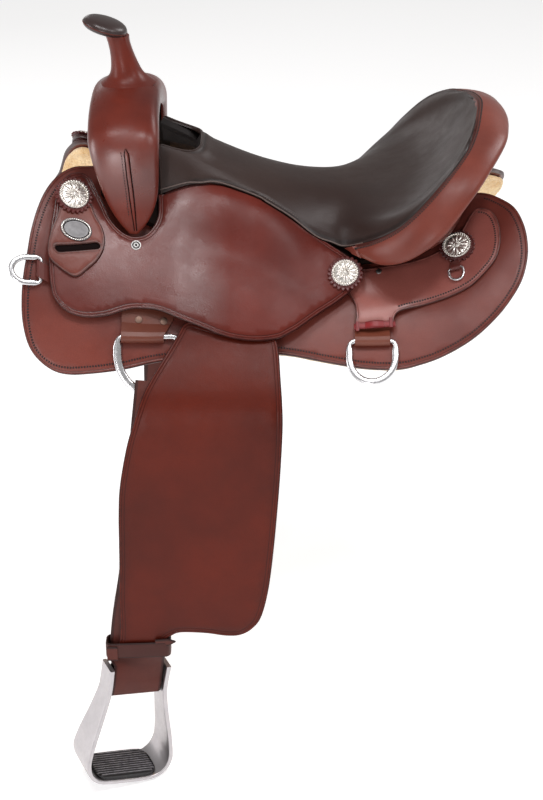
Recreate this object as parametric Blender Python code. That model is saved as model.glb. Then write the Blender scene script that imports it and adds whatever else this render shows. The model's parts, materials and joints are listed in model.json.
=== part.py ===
"""Gaited western saddle, built piece by piece.

Frame: X runs from horn to cantle (rearward), Y to the off (right) side, Z up.
The origin is on the centre plane where the horse's spine lies under the
lowest point of the seat.  All lengths are metres; leather patterns are given
in millimetres, the way a pattern is cut.

Every leather layer lies on one base surface, the underside of the fleece.
Across the horse that surface is a circular arc whose first slope, last slope
and ridge height change from withers to loin.  A place on it is (x, s): x along
the horse and s down the side from the ridge.  n is the height above it.
"""
import math

import bpy
import numpy as np
from mathutils import Vector
from mathutils.geometry import delaunay_2d_cdt

# ------------------------------------------------------------ dimensions
X_FRONT, X_REAR = -0.31, 0.31          # span over which the base surface is given
RIDGE = (0.165, 0.042, 0.090)          # ridge height: withers, mid back, loin
SLOPE_TOP = (33.0, 28.0, 22.0)         # slope beside the ridge, degrees
SLOPE_LOW = (76.0, 66.0, 66.0)         # slope at ARC down the side
ARC = 0.35

FLEECE = (0.0, 0.0120)                 # layer heights n, bottom and top
SKIRT = (0.0128, 0.0185)
BAR = (0.0203, 0.0320)
PLY = 0.0022                           # thickness of folded rigging leather
JOCKEY_T = 0.0045
FENDER_T = 0.0044
STRAP_T = 0.0035
GAP = 0.0004

TWIST = math.radians(24.0)             # the stirrup necks are set turned out
SLANTS = {"near": math.radians(10.5), "off": math.radians(-3.0)}    # and slant forward or back
BOLT_Z = -0.528                        # stirrup bolt
BOLT_R = 0.0062
BREAST_BACK = math.radians(114.0)      # the off breast dee lies thrown back by this angle

# ------------------------------------------------------------ scene reset
for ob in list(bpy.data.objects):
    bpy.data.objects.remove(ob, do_unlink=True)
for me in list(bpy.data.meshes):
    bpy.data.meshes.remove(me)
SCENE = bpy.context.scene


def material(name, rgb, rough, metal=0.0):
    m = bpy.data.materials.new(name)
    m.use_nodes = True
    b = m.node_tree.nodes["Principled BSDF"]
    b.inputs["Base Color"].default_value = (rgb[0], rgb[1], rgb[2], 1.0)
    b.inputs["Roughness"].default_value = rough
    b.inputs["Metallic"].default_value = metal
    m.diffuse_color = (rgb[0], rgb[1], rgb[2], 1.0)
    return m


LEATHER = material("leather_chestnut", (0.16, 0.045, 0.032), 0.42)
LEATHER_DARK = material("leather_dark", (0.09, 0.028, 0.020), 0.45)
SEAT = material("leather_charcoal", (0.055, 0.045, 0.042), 0.5)
SILVER = material("silver_plate", (0.75, 0.72, 0.68), 0.22, 1.0)
STEEL = material("stainless", (0.6, 0.6, 0.6), 0.28, 1.0)
ALU = material("satin_aluminium", (0.62, 0.61, 0.60), 0.38, 1.0)
RUBBER = material("tread_rubber", (0.015, 0.015, 0.015), 0.7)
FLEECE_M = material("fleece", (0.80, 0.62, 0.38), 0.95)
WOOD = material("tree_wood", (0.50, 0.34, 0.18), 0.6)
FOAM = material("seat_foam", (0.70, 0.68, 0.60), 0.9)


# ------------------------------------------------------------ base surface
def through3(x, a, m, b):
    """Parabola with the values a, m, b at front, middle and rear."""
    t = (x - X_FRONT) / (X_REAR - X_FRONT)
    return (2 * a - 4 * m + 2 * b) * t * t + (-3 * a + 4 * m - b) * t + a


def section(x):
    p0 = math.radians(through3(x, *SLOPE_TOP))
    p1 = math.radians(through3(x, *SLOPE_LOW))
    return through3(x, *RIDGE), p0, (p1 - p0) / ARC


def base(x, s, n):
    """Point of the near side at (x, s), n above the base surface."""
    zr, p0, k = section(x)
    r = 1.0 / k
    ph = p0 + k * s
    y = (r + n) * math.sin(ph) - r * math.sin(p0)
    z = zr - r * math.cos(p0) + (r + n) * math.cos(ph)
    return Vector((x, -y, z))


def unbase(x, y, z):
    """(s, n) of a point, with y its distance from the centre plane."""
    zr, p0, k = section(x)
    r = 1.0 / k
    dy, dz = y + r * math.sin(p0), z - zr + r * math.cos(p0)
    return (math.atan2(dy, dz) - p0) / k, math.hypot(dy, dz) - r


def base_normal(x, s, n):
    h = 1e-4
    du = base(x + h, s, n) - base(x - h, s, n)
    dv = base(x, s + h, n) - base(x, s - h, n)
    v = dv.cross(du)
    v.normalize()
    if v.z < 0:
        v.negate()
    return v


# ------------------------------------------------------------ helpers
def table(rows, x):
    """Value at x of a table of (x, value) rows, straight between rows."""
    return float(np.interp(x, [r[0] for r in rows], [r[1] for r in rows]))


def smoothstep(t):
    t = max(0.0, min(1.0, t))
    return t * t * (3 - 2 * t)


def spline(rows, u, closed=False):
    """Catmull-Rom through rows of numbers at parameter u (row index)."""
    n = len(rows)
    i = int(math.floor(u))
    if not closed:
        i = max(0, min(n - 2, i))
    t = u - i
    r = [np.array(rows[j % n] if closed else rows[max(0, min(n - 1, j))], float)
         for j in (i - 1, i, i + 1, i + 2)]
    if not closed:
        if i == 0:
            r[0] = 2 * r[1] - r[2]
        if i == n - 2:
            r[3] = 2 * r[2] - r[1]
    return 0.5 * (2 * r[1] + (r[2] - r[0]) * t + (2 * r[0] - 5 * r[1] + 4 * r[2] - r[3]) * t * t
                  + (3 * r[1] - r[0] - 3 * r[2] + r[3]) * t ** 3)


def outline(mm, step):
    """Smooth closed curve through pattern points in mm, resampled at step (m)."""
    pts = [spline(mm, k / 12.0, True) / 1000.0 for k in range(12 * len(mm))]
    pts.append(pts[0])
    pts = np.array(pts)
    run = np.concatenate([[0], np.cumsum(np.linalg.norm(np.diff(pts, axis=0), axis=1))])
    n = max(8, int(round(run[-1] / step)))
    at = np.linspace(0, run[-1], n, endpoint=False)
    return [(float(np.interp(a, run, pts[:, 0])), float(np.interp(a, run, pts[:, 1]))) for a in at]


def inside(poly, x, y):
    hit = False
    j = len(poly) - 1
    for i in range(len(poly)):
        xi, yi = poly[i]
        xj, yj = poly[j]
        if (yi > y) != (yj > y) and x < (xj - xi) * (y - yi) / (yj - yi) + xi:
            hit = not hit
        j = i
    return hit


def edge_distance(poly, x, y):
    a = np.array(poly)
    b = np.roll(a, -1, axis=0)
    d = b - a
    t = np.clip(((x - a[:, 0]) * d[:, 0] + (y - a[:, 1]) * d[:, 1]) / (d ** 2).sum(1), 0, 1)
    return float(np.hypot(a[:, 0] + t * d[:, 0] - x, a[:, 1] + t * d[:, 1] - y).min())


def flat_mesh(loop, holes, step):
    """Triangles that fill an outline with holes, with inner points on a grid."""
    verts = [Vector(p) for p in loop]
    edges = [(i, (i + 1) % len(loop)) for i in range(len(loop))]
    for h in holes:
        o = len(verts)
        verts += [Vector(p) for p in h]
        edges += [(o + i, o + (i + 1) % len(h)) for i in range(len(h))]
    xs, ys = [p[0] for p in loop], [p[1] for p in loop]
    row, y = 0, min(ys) + step * 0.5
    while y < max(ys):
        x = min(xs) + (step * 0.5 if row % 2 else 0.0)
        while x < max(xs):
            if inside(loop, x, y) and edge_distance(loop, x, y) > step * 0.55:
                if all(not inside(h, x, y) and edge_distance(h, x, y) > step * 0.55 for h in holes):
                    verts.append(Vector((x, y)))
            x += step
        y += step * 0.866
        row += 1
    out = delaunay_2d_cdt(verts, edges, [], 0, 1e-7)
    pts, tris = out[0], []
    for f in out[2]:
        cx = sum(pts[i].x for i in f) / 3.0
        cy = sum(pts[i].y for i in f) / 3.0
        if inside(loop, cx, cy) and not any(inside(h, cx, cy) for h in holes):
            tris.append(tuple(f))
    used = sorted({i for f in tris for i in f})
    new = {o: k for k, o in enumerate(used)}
    return [(pts[i].x, pts[i].y) for i in used], [tuple(new[i] for i in f) for f in tris]


def thicken(top, bottom, faces):
    """Closed solid between two sheets that share their faces."""
    n = len(top)
    out = [tuple(f) for f in faces] + [tuple(n + i for i in reversed(f)) for f in faces]
    half = {(f[i], f[(i + 1) % len(f)]) for f in faces for i in range(len(f))}
    for a, b in sorted(half):
        if (b, a) not in half:
            out.append((b, a, n + a, n + b))
    return list(top) + list(bottom), out


def volume(verts, faces):
    v = 0.0
    for f in faces:
        a = verts[f[0]]
        for i in range(1, len(f) - 1):
            v += a.dot(verts[f[i]].cross(verts[f[i + 1]]))
    return v / 6.0


def node(name, verts, faces, mat, origin=(0, 0, 0), smooth=35.0):
    """One named solid.  verts are world positions; origin is its pivot."""
    if volume(verts, faces) < 0:
        faces = [tuple(reversed(f)) for f in faces]
    o = Vector(origin)
    me = bpy.data.meshes.new(name)
    me.from_pydata([tuple(v - o) for v in verts], [], faces)
    me.validate()
    me.materials.append(mat)
    ob = bpy.data.objects.new(name, me)
    ob.location = o
    SCENE.collection.objects.link(ob)
    me.shade_smooth()
    me.set_sharp_from_angle(angle=math.radians(smooth))
    return ob


def pair(name, verts, faces, mat, origin=(0, 0, 0)):
    """The near (left) piece as given and the off (right) piece mirrored."""
    node(name + "_near", verts, faces, mat, origin)
    flip = [Vector((v.x, -v.y, v.z)) for v in verts]
    node(name + "_off", flip, [tuple(reversed(f)) for f in faces], mat,
         (origin[0], -origin[1], origin[2]))


def panel(shape, lo, hi, step=0.028, holes=(), place=base):
    """Leather panel cut to a pattern, from height lo to height hi."""
    loop = outline(shape, step)
    hs = [outline(h, step * 0.4) for h in holes]
    pts, tris = flat_mesh(loop, hs, step)
    f_lo = lo if callable(lo) else (lambda x, s: lo)
    f_hi = hi if callable(hi) else (lambda x, s: hi)
    top = [place(x, s, f_hi(x, s)) for x, s in pts]
    bot = [place(x, s, f_lo(x, s)) for x, s in pts]
    return thicken(top, bot, tris)


def rings(stack, closed=False):
    """Skin a list of equal rings of points; ends are capped unless closed."""
    m = len(stack[0])
    verts = [p for r in stack for p in r]
    faces = []
    rows = len(stack)
    for i in range(rows if closed else rows - 1):
        a, b = i * m, ((i + 1) % rows) * m
        for j in range(m):
            k = (j + 1) % m
            faces.append((a + j, a + k, b + k, b + j))
    if not closed:
        faces.append(tuple(range(m - 1, -1, -1)))
        faces.append(tuple((rows - 1) * m + j for j in range(m)))
    return verts, faces


def caps_as_fans(verts, faces):
    """Replace many-sided end faces by fans round a middle point."""
    verts, out = list(verts), []
    for f in faces:
        if len(f) > 4:
            c = sum((verts[i] for i in f), Vector()) / len(f)
            verts.append(c)
            k = len(verts) - 1
            out += [(f[i], f[(i + 1) % len(f)], k) for i in range(len(f))]
        else:
            out.append(f)
    return verts, out


def lathe(profile, centre, axis, seg=24, side=None, wobble=None):
    """Turned solid: profile of (radius, height) from bottom pole to top pole."""
    axis = axis.normalized()
    u = (side - axis * side.dot(axis)).normalized() if side is not None else axis.orthogonal().normalized()
    w = axis.cross(u)
    verts, rows = [], []
    for r, h in profile:
        if r < 1e-7:
            rows.append([len(verts)])
            verts.append(centre + axis * h)
        else:
            idx = []
            for k in range(seg):
                a = 2 * math.pi * k / seg
                rr = r * (wobble(a, r) if wobble else 1.0)
                idx.append(len(verts))
                verts.append(centre + axis * h + u * (rr * math.cos(a)) + w * (rr * math.sin(a)))
            rows.append(idx)
    faces = []
    for a, b in zip(rows, rows[1:]):
        for k in range(seg):
            j = (k + 1) % seg
            if len(a) == 1:
                faces.append((a[0], b[j], b[k]))
            elif len(b) == 1:
                faces.append((a[k], a[j], b[0]))
            else:
                faces.append((a[k], a[j], b[j], b[k]))
    return verts, faces


def wire_loop(path, normal, wide, b, sides=8):
    """Closed ring of wire along a flat path: wide in its plane, b across it."""
    stack = []
    n = len(path)
    for i in range(n):
        t = (path[(i + 1) % n] - path[i - 1]).normalized()
        out = t.cross(normal).normalized()
        stack.append([path[i] + out * (wide[i] * math.cos(2 * math.pi * k / sides))
                      + normal * (b * math.sin(2 * math.pi * k / sides)) for k in range(sides)])
    return rings(stack, True)


def dee_path(half, height, arm, bend=0.006):
    """Flat D: a bar on the first axis and a bow hanging along the second."""
    pts = [(half - bend, 0.0), (half * 0.5, 0.0), (-half * 0.5, 0.0), (-half + bend, 0.0),
           (-half + bend * 0.3, bend * 0.3), (-half, bend)]
    for k in range(0, 13):
        a = math.pi * k / 12
        pts.append((-half * math.cos(a), arm + (height - arm) * math.sin(a)))
    pts += [(half, bend), (half - bend * 0.3, bend * 0.3)]
    return pts


def dee(p0, e_bar, e_hang, half, height, arm, a, b, bend=0.006, bow=0.0):
    """A dee whose bow is wider than its bar: a for the bar and bow for the rest."""
    nrm = e_bar.cross(e_hang).normalized()
    flat = dee_path(half, height, arm, bend)
    path = [p0 + e_bar * u + e_hang * v for u, v in flat]
    return wire_loop(path, nrm, [a + (max(a, bow) - a) * smoothstep(v / bend - 0.7) for u, v in flat], b)


def fold(centre_x, half, s_bar, n_bar, slot_r, ply, s_end, shear=0.0, back_end=None, along="x", seg=6, flare=0.0):
    """Leather doubled round a bar: two plies with the bar's room at the fold.

    Its cross-section is one outline in (s, n); it is cut off at +-half along x.
    """
    out_r = slot_r + ply
    d = 1.0 if s_end < s_bar else -1.0        # the fold faces away from its end
    back_end = s_end if back_end is None else back_end
    e1, e2 = d * (s_end - s_bar), d * (back_end - s_bar)
    n_lo = n_bar - out_r                      # underside of the back ply
    slit = 0.00025
    steps = max(1, int(round((-0.004 - e2) / 0.020)))
    sec = [(e2 * (1 - k / steps), n_lo) for k in range(steps)]
    for k in range(0, 9):
        a = -math.pi / 2 + math.pi * k / 8
        sec.append((out_r * math.cos(a), n_bar + out_r * math.sin(a)))
    top = n_lo + 2 * ply + 2 * slit           # outer face of the front ply, past the bar
    join = -2.6 * out_r
    sec.append((-0.8 * out_r, n_bar + out_r * 0.82))
    half_way = (join + e1) / 2
    sec += [(join, top), (half_way, top), (e1, top), (e1, top - ply), (half_way, top - ply), (join, top - ply)]
    for k in range(0, 9):
        a = math.radians(140) - math.radians(280) * k / 8
        sec.append((slot_r * math.cos(a), n_bar + slot_r * math.sin(a)))
    sec.append((join, n_lo + ply))
    sec += [(join + (e2 - join) * (k + 1) / steps, n_lo + ply) for k in range(steps)]
    sec = [(s_bar + d * w, n) for w, n in sec]
    loop = sec
    verts2 = [Vector(p) for p in loop]
    res = delaunay_2d_cdt(verts2, [(i, (i + 1) % len(loop)) for i in range(len(loop))], [], 0, 1e-8)
    tris = [f for f in res[2]
            if inside(loop, sum(res[0][i].x for i in f) / 3, sum(res[0][i].y for i in f) / 3)]
    order = [None] * len(loop)
    for k, src in enumerate(res[3]):
        for o in src:
            order[o] = k
    back = {k: i for i, k in enumerate(order)}
    tris = [tuple(back[i] for i in f) for f in tris]
    m = len(loop)
    verts, faces = [], []
    for r in range(seg + 1):
        u = -half + 2 * half * r / seg
        for s, n in loop:
            if along == "x":
                wide = flare * max(0.0, s_bar - s) * (u + half) / (2 * half)
                verts.append(base(centre_x + u + wide, s + shear * u, n))
            else:                              # fold line runs down the side
                verts.append(base(s, centre_x + u, n))
    for r in range(seg):
        for j in range(m):
            k = (j + 1) % m
            faces.append((r * m + j, r * m + k, (r + 1) * m + k, (r + 1) * m + j))
    area = sum(loop[i][0] * loop[(i + 1) % m][1] - loop[(i + 1) % m][0] * loop[i][1] for i in range(m))
    for f in tris:
        a, b, c = (loop[i] for i in f)
        ccw = (b[0] - a[0]) * (c[1] - a[1]) - (b[1] - a[1]) * (c[0] - a[0]) > 0
        g = f if ccw == (area > 0) else tuple(reversed(f))
        faces.append(tuple(reversed(g)))
        faces.append(tuple(seg * m + i for i in g))
    return verts, faces


# ------------------------------------------------------------ seat shape
# one row per station: centre line (x, z), edge (x, y, z), fullness power
SEAT_ROWS = [
    (-138, 150, -137, 70, 79, 8.0),
    (-106, 138, -106, 66, 89.5, 6.0),
    (-88, 130, -88, 64, 91, 4.2),
    (-64, 116, -64, 62, 91.6, 3.0),
    (-20, 98, -20, 66, 77, 2.5),
    (-4, 93, -4, 72, 69.5, 2.5),
    (25, 84, 25, 82, 54, 2.6),
    (54, 80, 54, 92, 33, 3.0),
    (74, 79, 74, 98, 27, 3.0),
    (96, 80, 92, 107, 25, 3.0),
    (122, 82, 124, 148, 50, 3.0),
    (148, 86, 152, 166, 73, 3.0),
    (176, 93, 177, 170, 100, 2.6),
    (204, 108, 204, 158, 129, 2.4),
    (228, 134, 229, 125, 150, 2.2),
    (244, 156, 243, 85, 161, 2.2),
    (252, 169, 251, 45, 172, 2.2),
    (256, 177, 256, 0, 177, 2.2),
]
# outer edge of the roll behind the cantle, from station 9 on
ROLL_EDGE = [(102, 118, 21), (131, 163, 25), (162, 188, 41), (200, 194, 72), (235, 175, 112),
             (258, 145, 134), (283, 90, 152), (292, 42, 155), (295, 0, 155)]


def seat_point(i, v):
    xa, za, xb, yb, zb, p = spline(SEAT_ROWS, i)
    a = abs(v)
    rim = 5.0 * smoothstep((i - 8.5) / 2.0) * math.exp(-((a - 0.90) / 0.10) ** 2) * (1 - smoothstep((i - 15) / 2))
    return Vector((xa + (xb - xa) * a * a, v * max(yb, 0.0), za + (zb - za) * a ** p + rim)) / 1000.0


def seat_normal(i, v):
    h = 0.02
    i0, i1 = max(0.0, i - h), min(len(SEAT_ROWS) - 1.05, i + h)
    du = seat_point(i1, v) - seat_point(i0, v)
    dv = seat_point(i, min(1, v + h)) - seat_point(i, max(-1, v - h))
    n = du.cross(dv).normalized()
    return n if n.z > 0 else -n


def seat_sheet(i_list, v_list, top, bottom, skip=None):
    tops, bots, faces = [], [], []
    m = len(v_list)
    for i in i_list:
        for v in v_list:
            p, n = seat_point(i, v), seat_normal(i, v)
            tops.append(p - n * top)
            bots.append(p - n * (bottom(i) if callable(bottom) else bottom))
    for a in range(len(i_list) - 1):
        for b in range(m - 1):
            if skip and skip(i_list[a], i_list[a + 1], v_list[b], v_list[b + 1]):
                continue
            q = (a * m + b, (a + 1) * m + b, (a + 1) * m + b + 1, a * m + b + 1)
            if v_list[b] < 0:
                faces += [(q[0], q[1], q[2]), (q[0], q[2], q[3])]
            else:
                faces += [(q[0], q[1], q[3]), (q[1], q[2], q[3])]
    used = sorted({i for f in faces for i in f})
    new = {o: k for k, o in enumerate(used)}
    return thicken([tops[i] for i in used], [bots[i] for i in used],
                   [tuple(new[i] for i in f) for f in faces])


HAND_HOLE = 0.78                       # half width of the notch, in parts of the seat's half width


def hand_notch(i0, i1, v0, v1):
    return i1 <= 2.01 and v0 > -HAND_HOLE - 0.01 and v1 < HAND_HOLE + 0.01


V_COLS = [-1, -0.93, -0.86, -HAND_HOLE, -0.52, -0.26, 0, 0.26, 0.52, HAND_HOLE, 0.86, 0.93, 1]
seat_i = [0, 0.6, 1.2, 2, 2.6, 3.3, 4, 5, 6, 7, 8, 8.7, 9.4, 10, 10.6, 11.3, 12, 12.7, 13.4, 14, 14.6, 15.2, 15.8, 16.3, 16.8]
v, f = seat_sheet(seat_i, V_COLS, 0.0, 0.0028, hand_notch)
node("seat_leather", v, f, SEAT)

def pad_under(i):
    """Depth of the foam's underside: it thins out up the cantle."""
    return 0.0120 - 0.0060 * smoothstep((i - 11.0) / 3.0)


v, f = seat_sheet([i for i in seat_i if i <= 14], V_COLS[1:-1], 0.0036,
                  pad_under, hand_notch)
node("seat_foam_pad", v, f, FOAM)
v, f = seat_sheet([i for i in seat_i if 2 <= i <= 10.6], V_COLS[3:-3], 0.0129, 0.0150)
node("ground_seat_strainer", v, f, STEEL)

# ------------------------------------------------------------ skirts and fleece
SKIRT_PATTERN = [(-230, 41), (-246, 52), (-262, 72), (-275, 98), (-284, 126), (-291, 158), (-295, 187), (-299, 215),
                 (-301, 244), (-300, 270), (-294, 293), (-283, 305), (-265, 310), (-245, 306), (-217, 293),
                 (-181, 275), (-135, 251), (-80, 232), (-25, 219), (22, 218), (71, 227), (115, 237), (155, 243),
                 (180, 242), (208, 238), (241, 228), (265, 215), (285, 199), (302, 178), (310, 155), (312, 132),
                 (309, 105), (300, 77), (284, 55), (265, 38), (240, 30), (200, 28), (120, 28), (20, 28), (-80, 28),
                 (-170, 29), (-210, 32)]


def shrink(mm, d):
    """Pattern moved inward by d mm."""
    a = np.array(mm, float)
    t = np.roll(a, -1, axis=0) - np.roll(a, 1, axis=0)
    t /= np.linalg.norm(t, axis=1)[:, None]
    nrm = np.stack([-t[:, 1], t[:, 0]], 1)
    area = np.sum(a[:, 0] * np.roll(a[:, 1], -1) - np.roll(a[:, 0], -1) * a[:, 1])
    return [tuple(r) for r in a + nrm * (d if area > 0 else -d)]


def draw_back(x, s):
    """The off skirt sits a little further in than the near one at its two top corners."""
    front = max(0.0, 1 - abs(s - 130) / 110.0) if x < -200 else 0.0
    rear = max(0.0, 1 - max(0.0, s - 70) / 75.0) if x > 225 else 0.0
    return (x + 11.0 * smoothstep(front * 1.4) - 12.0 * smoothstep(rear * 1.2), s)


OFF_SKIRT_PATTERN = [draw_back(x, s) for x, s in SKIRT_PATTERN]
for side, shape in (("near", SKIRT_PATTERN), ("off", OFF_SKIRT_PATTERN)):
    for name, loop, lo, hi, step, mat in (("skirt", shape, SKIRT[0], SKIRT[1], 0.032, LEATHER),
                                          ("fleece", shrink(shape, 6), FLEECE[0], FLEECE[1], 0.034, FLEECE_M)):
        v, f = panel(loop, lo, hi, step)
        if side == "off":
            v, f = [Vector((q.x, -q.y, q.z)) for q in v], [tuple(reversed(q)) for q in f]
        node(name + "_" + side, v, f, mat, (0, 0, 0))

# ------------------------------------------------------------ tree bars
BAR_PATTERN = [(-205, 44), (-212, 60), (-205, 80), (-180, 87), (-140, 90), (-90, 97), (-30, 102), (40, 104),
               (110, 106), (180, 104), (210, 96), (230, 80), (235, 60), (222, 46), (190, 42), (130, 40), (60, 40),
               (-40, 40), (-140, 40)]
v, f = panel(BAR_PATTERN, BAR[0], BAR[1], 0.034)
pair("tree_bar", v, f, WOOD)

# ------------------------------------------------------------ jockeys
JOCKEY_TOP = [(-0.270, 0.0295), (-0.225, 0.0295), (-0.190, 0.0320), (-0.150, 0.0370), (-0.120, 0.0430),
              (0.000, 0.0435), (0.030, 0.0410), (0.060, 0.0355), (0.098, 0.0310)]
_edge = [unbase(*(c / 1000.0 for c in (r[2], r[3], r[4]))) for r in SEAT_ROWS[:10]]
EDGE_S = [(r[2] / 1000.0, e[0]) for r, e in zip(SEAT_ROWS[:10], _edge)]
EDGE_N = [(r[2] / 1000.0, e[1]) for r, e in zip(SEAT_ROWS[:10], _edge)]


def jockey_top(x, s):
    b = table(JOCKEY_TOP, x)
    rise = max(0.0, table(EDGE_N, x) - b)
    fade = smoothstep(1 - (s - table(EDGE_S, x)) / 0.085)
    front = smoothstep((x + 0.215) / 0.07)
    return b + rise * fade * front


def jockey_bottom(x, s):
    return jockey_top(x, s) - JOCKEY_T


JOCKEY_PATTERN = (
    [(-268, 160), (-268, 182), (-267, 201), (-264, 219), (-257, 229), (-244, 234), (-224, 231), (-199, 220),
     (-177, 206), (-161, 199), (-138, 195), (-115, 198), (-84, 203), (-61, 208), (-38, 210), (-15, 209),
     (9, 204), (24, 196), (35, 189), (59, 171), (84, 155), (99, 143), (104, 128), (101, 114), (93, 104)]
    + [(r[2] + (1.5 if k == 9 else 0.0), round(e[0] * 1000 + 1.6, 1)) for k, (r, e) in
       reversed(list(enumerate(zip(SEAT_ROWS[:10], _edge)))) if k not in (9, 8)]
    + [(-139, 62), (-139, 80), (-144, 95), (-152, 107), (-163, 114), (-173, 116), (-185, 113), (-197, 103),
       (-206, 87), (-216, 71), (-224, 60), (-236, 60), (-250, 72), (-260, 95), (-264, 125)])
v, f = panel(JOCKEY_PATTERN, jockey_bottom, jockey_top, 0.022)
pair("seat_jockey", v, f, LEATHER)

REAR_JOCKEY_PATTERN = [(254, 62), (267, 68), (275, 80), (279, 95), (280, 111), (278, 126), (272, 140), (258, 153),
                       (242, 163), (217, 169), (186, 172), (163, 174), (153, 177), (149, 183), (147, 191), (125, 189),
                       (103, 186), (103, 175), (102, 160), (97, 148), (88, 132), (84, 118), (100, 113), (140, 113),
                       (180, 112), (212, 104), (233, 88), (245, 70)]


def rear_jockey_low(x, s):
    return 0.0193 + 0.0056 * smoothstep((s - 0.140) / 0.035) * smoothstep((0.190 - x) / 0.04)


def rear_jockey_top(x, s):
    return rear_jockey_low(x, s) + 0.0042


v, f = panel(REAR_JOCKEY_PATTERN, rear_jockey_low, rear_jockey_top, 0.022)
pair("rear_jockey", v, f, LEATHER)

# ------------------------------------------------------------ swell, fork, horn
# near half of the arch from the foot to the top: outer (y, z), middle x, half length, half thickness
ARCH = [(113, 45, -168, 6, 3), (116.5, 60, -168, 19, 7), (118.5, 90, -170, 33, 13), (120, 130, -175.5, 39.5, 19),
        (112, 163, -178, 43, 22), (91, 182, -179, 43.5, 24), (52, 199, -180.5, 43, 25), (0, 207.5, -180, 43, 26)]
ARCH_ALL = [(-r[0],) + r[1:] for r in ARCH] + [r for r in reversed(ARCH[:-1])]


def arch_ring(u, shell, angles):
    y, z, xc, a, b = spline(ARCH_ALL, u)
    d = spline(ARCH_ALL, min(u + 0.05, len(ARCH_ALL) - 1)) - spline(ARCH_ALL, max(u - 0.05, 0))
    t = Vector((0, d[0], d[1])).normalized()
    out = Vector((0, -t.z, t.y))
    if out.y * y < 0 and abs(y) > 60:
        out = -out
    if abs(y) <= 60 and out.z < 0:
        out = -out
    mid = Vector((xc, y, z)) - out * b
    t_sh = min(shell, 0.45 * min(a, b))
    aa, bb = a - t_sh, b - t_sh
    ring = []
    for ang in angles:
        c, s = math.cos(ang), math.sin(ang)
        e = 0.62                                    # squarer than an ellipse
        dx = -aa * math.copysign(abs(c) ** e, c)
        lean = 0.05 * smoothstep((z - 110) / 70)    # the front of the top sits lower
        ring.append((mid + Vector((dx, 0, dx * lean)) + out * (bb * math.copysign(abs(s) ** e, s))) / 1000.0)
    return ring


N_ARCH = len(ARCH_ALL) - 1
ang_c = [math.radians(-32 + 244 * k / 10) for k in range(11)]
stack = []
for k in range(29):
    u = N_ARCH * k / 28
    outer = arch_ring(u, 0.0, ang_c)
    inner = arch_ring(u, 3.2, ang_c)
    stack.append(outer + inner[::-1])
v, f = rings(stack)
fl = [q for q in f if len(q) <= 4]
m = 22
for row in (0, 28):                                 # end faces of the open section, as strips
    for j in range(10):
        q = (row * m + j, row * m + j + 1, row * m + 20 - j, row * m + 21 - j)
        fl.append(tuple(reversed(q)) if row == 0 else q)
node("swell_cover", v, fl, LEATHER)

ang_f = [2 * math.pi * k / 12 for k in range(12)]
stack = [arch_ring(u, 5.0, ang_f) for u in np.linspace(2.1, N_ARCH - 2.1, 17)]
v, f = caps_as_fans(*rings(stack))
node("tree_fork", v, f, WOOD)

# horn: neck rings (x, z, half length, half width), leaning forward
NECK = [(-177.5, 209.6, 20.5, 20.5), (-179, 219, 17.8, 18), (-181.8, 232, 15.8, 16), (-185, 245, 14.6, 15),
        (-188.5, 257.5, 14.2, 14.6)]
CAP_C = Vector((-0.2035, 0, 0.2700))
CAP_AX = Vector((math.sin(math.radians(17.0)), 0, math.cos(math.radians(17.0))))
outer = []
for k in range(9):
    x, z, rx, ry = spline(NECK, 4 * k / 8)
    a = math.radians(17.0) * smoothstep(k / 8)
    ex = Vector((math.cos(a), 0, -math.sin(a)))
    outer.append([(Vector((x, 0, z)) + ex * (rx * math.cos(a)) + Vector((0, 1, 0)) * (ry * math.sin(a))) / 1000.0
                  for a in [2 * math.pi * j / 16 for j in range(16)]])
v, f = caps_as_fans(*rings(outer))
node("horn_neck", v, f, LEATHER)
v, f = lathe([(0, -0.0050), (0.0145, -0.0050), (0.0215, -0.0046), (0.0262, -0.0026), (0.0275, 0.0010), (0.0268, 0.0040),
              (0.0235, 0.0068), (0.0165, 0.0090), (0.0080, 0.0100), (0, 0.0102)], CAP_C, CAP_AX, 28)
node("horn_cap", v, f, LEATHER_DARK)

# ------------------------------------------------------------ cantle
ROLL_B = [SEAT_ROWS[i][2:5] for i in range(9, 18)]
ROLL_ALL = [(b[0], -b[1], b[2], o[0], -o[1], o[2]) for b, o in zip(ROLL_B, ROLL_EDGE)]
ROLL_ALL += [(b[0], b[1], b[2], o[0], o[1], o[2]) for b, o in reversed(list(zip(ROLL_B, ROLL_EDGE))[:-1])]


def roll_frame(u):
    r = spline(ROLL_ALL, u)
    d = spline(ROLL_ALL, min(u + 0.05, 16)) - spline(ROLL_ALL, max(u - 0.05, 0))
    b, o = Vector(r[:3]), Vector(r[3:])
    t = Vector(d[:3]).normalized()
    c = o - b
    m = t.cross(c).normalized()
    if m.z < 0:
        m = -m
    return b, c, m


stack = []
for k in range(33):
    b, c, m = roll_frame(16 * k / 32)
    t0 = min(0.45, 4.6 / c.length)
    bulge = 7.0 * min(1.0, c.length / 30.0)
    thick = 9.0 * min(1.0, c.length / 26.0)
    ring = []
    for q in (0.0, 0.22, 0.45, 0.7, 0.9):
        t = t0 + (0.97 - t0) * q
        ring.append((b + c * t + m * (bulge * math.sin(math.pi * min(1, t)) + 0.5)) / 1000.0)
    ring.append((b + c - m * (0.3 * thick)) / 1000.0)
    for q in (0.93, 0.7, 0.45, 0.22, 0.0):
        t = t0 + (0.97 - t0) * q
        th = thick * (0.45 + 0.55 * math.sin(math.pi * min(1, 0.15 + 0.7 * q)))
        ring.append((b + c * t + m * (bulge * math.sin(math.pi * min(1, t)) - th)) / 1000.0)
    stack.append(ring)
v, f = caps_as_fans(*rings(stack))
node("cantle_roll", v, f, LEATHER)

CANTLE_FOOT = [(170, 112), (192, 108), (212, 96), (226, 74), (233, 40), (236, 0)]


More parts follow.
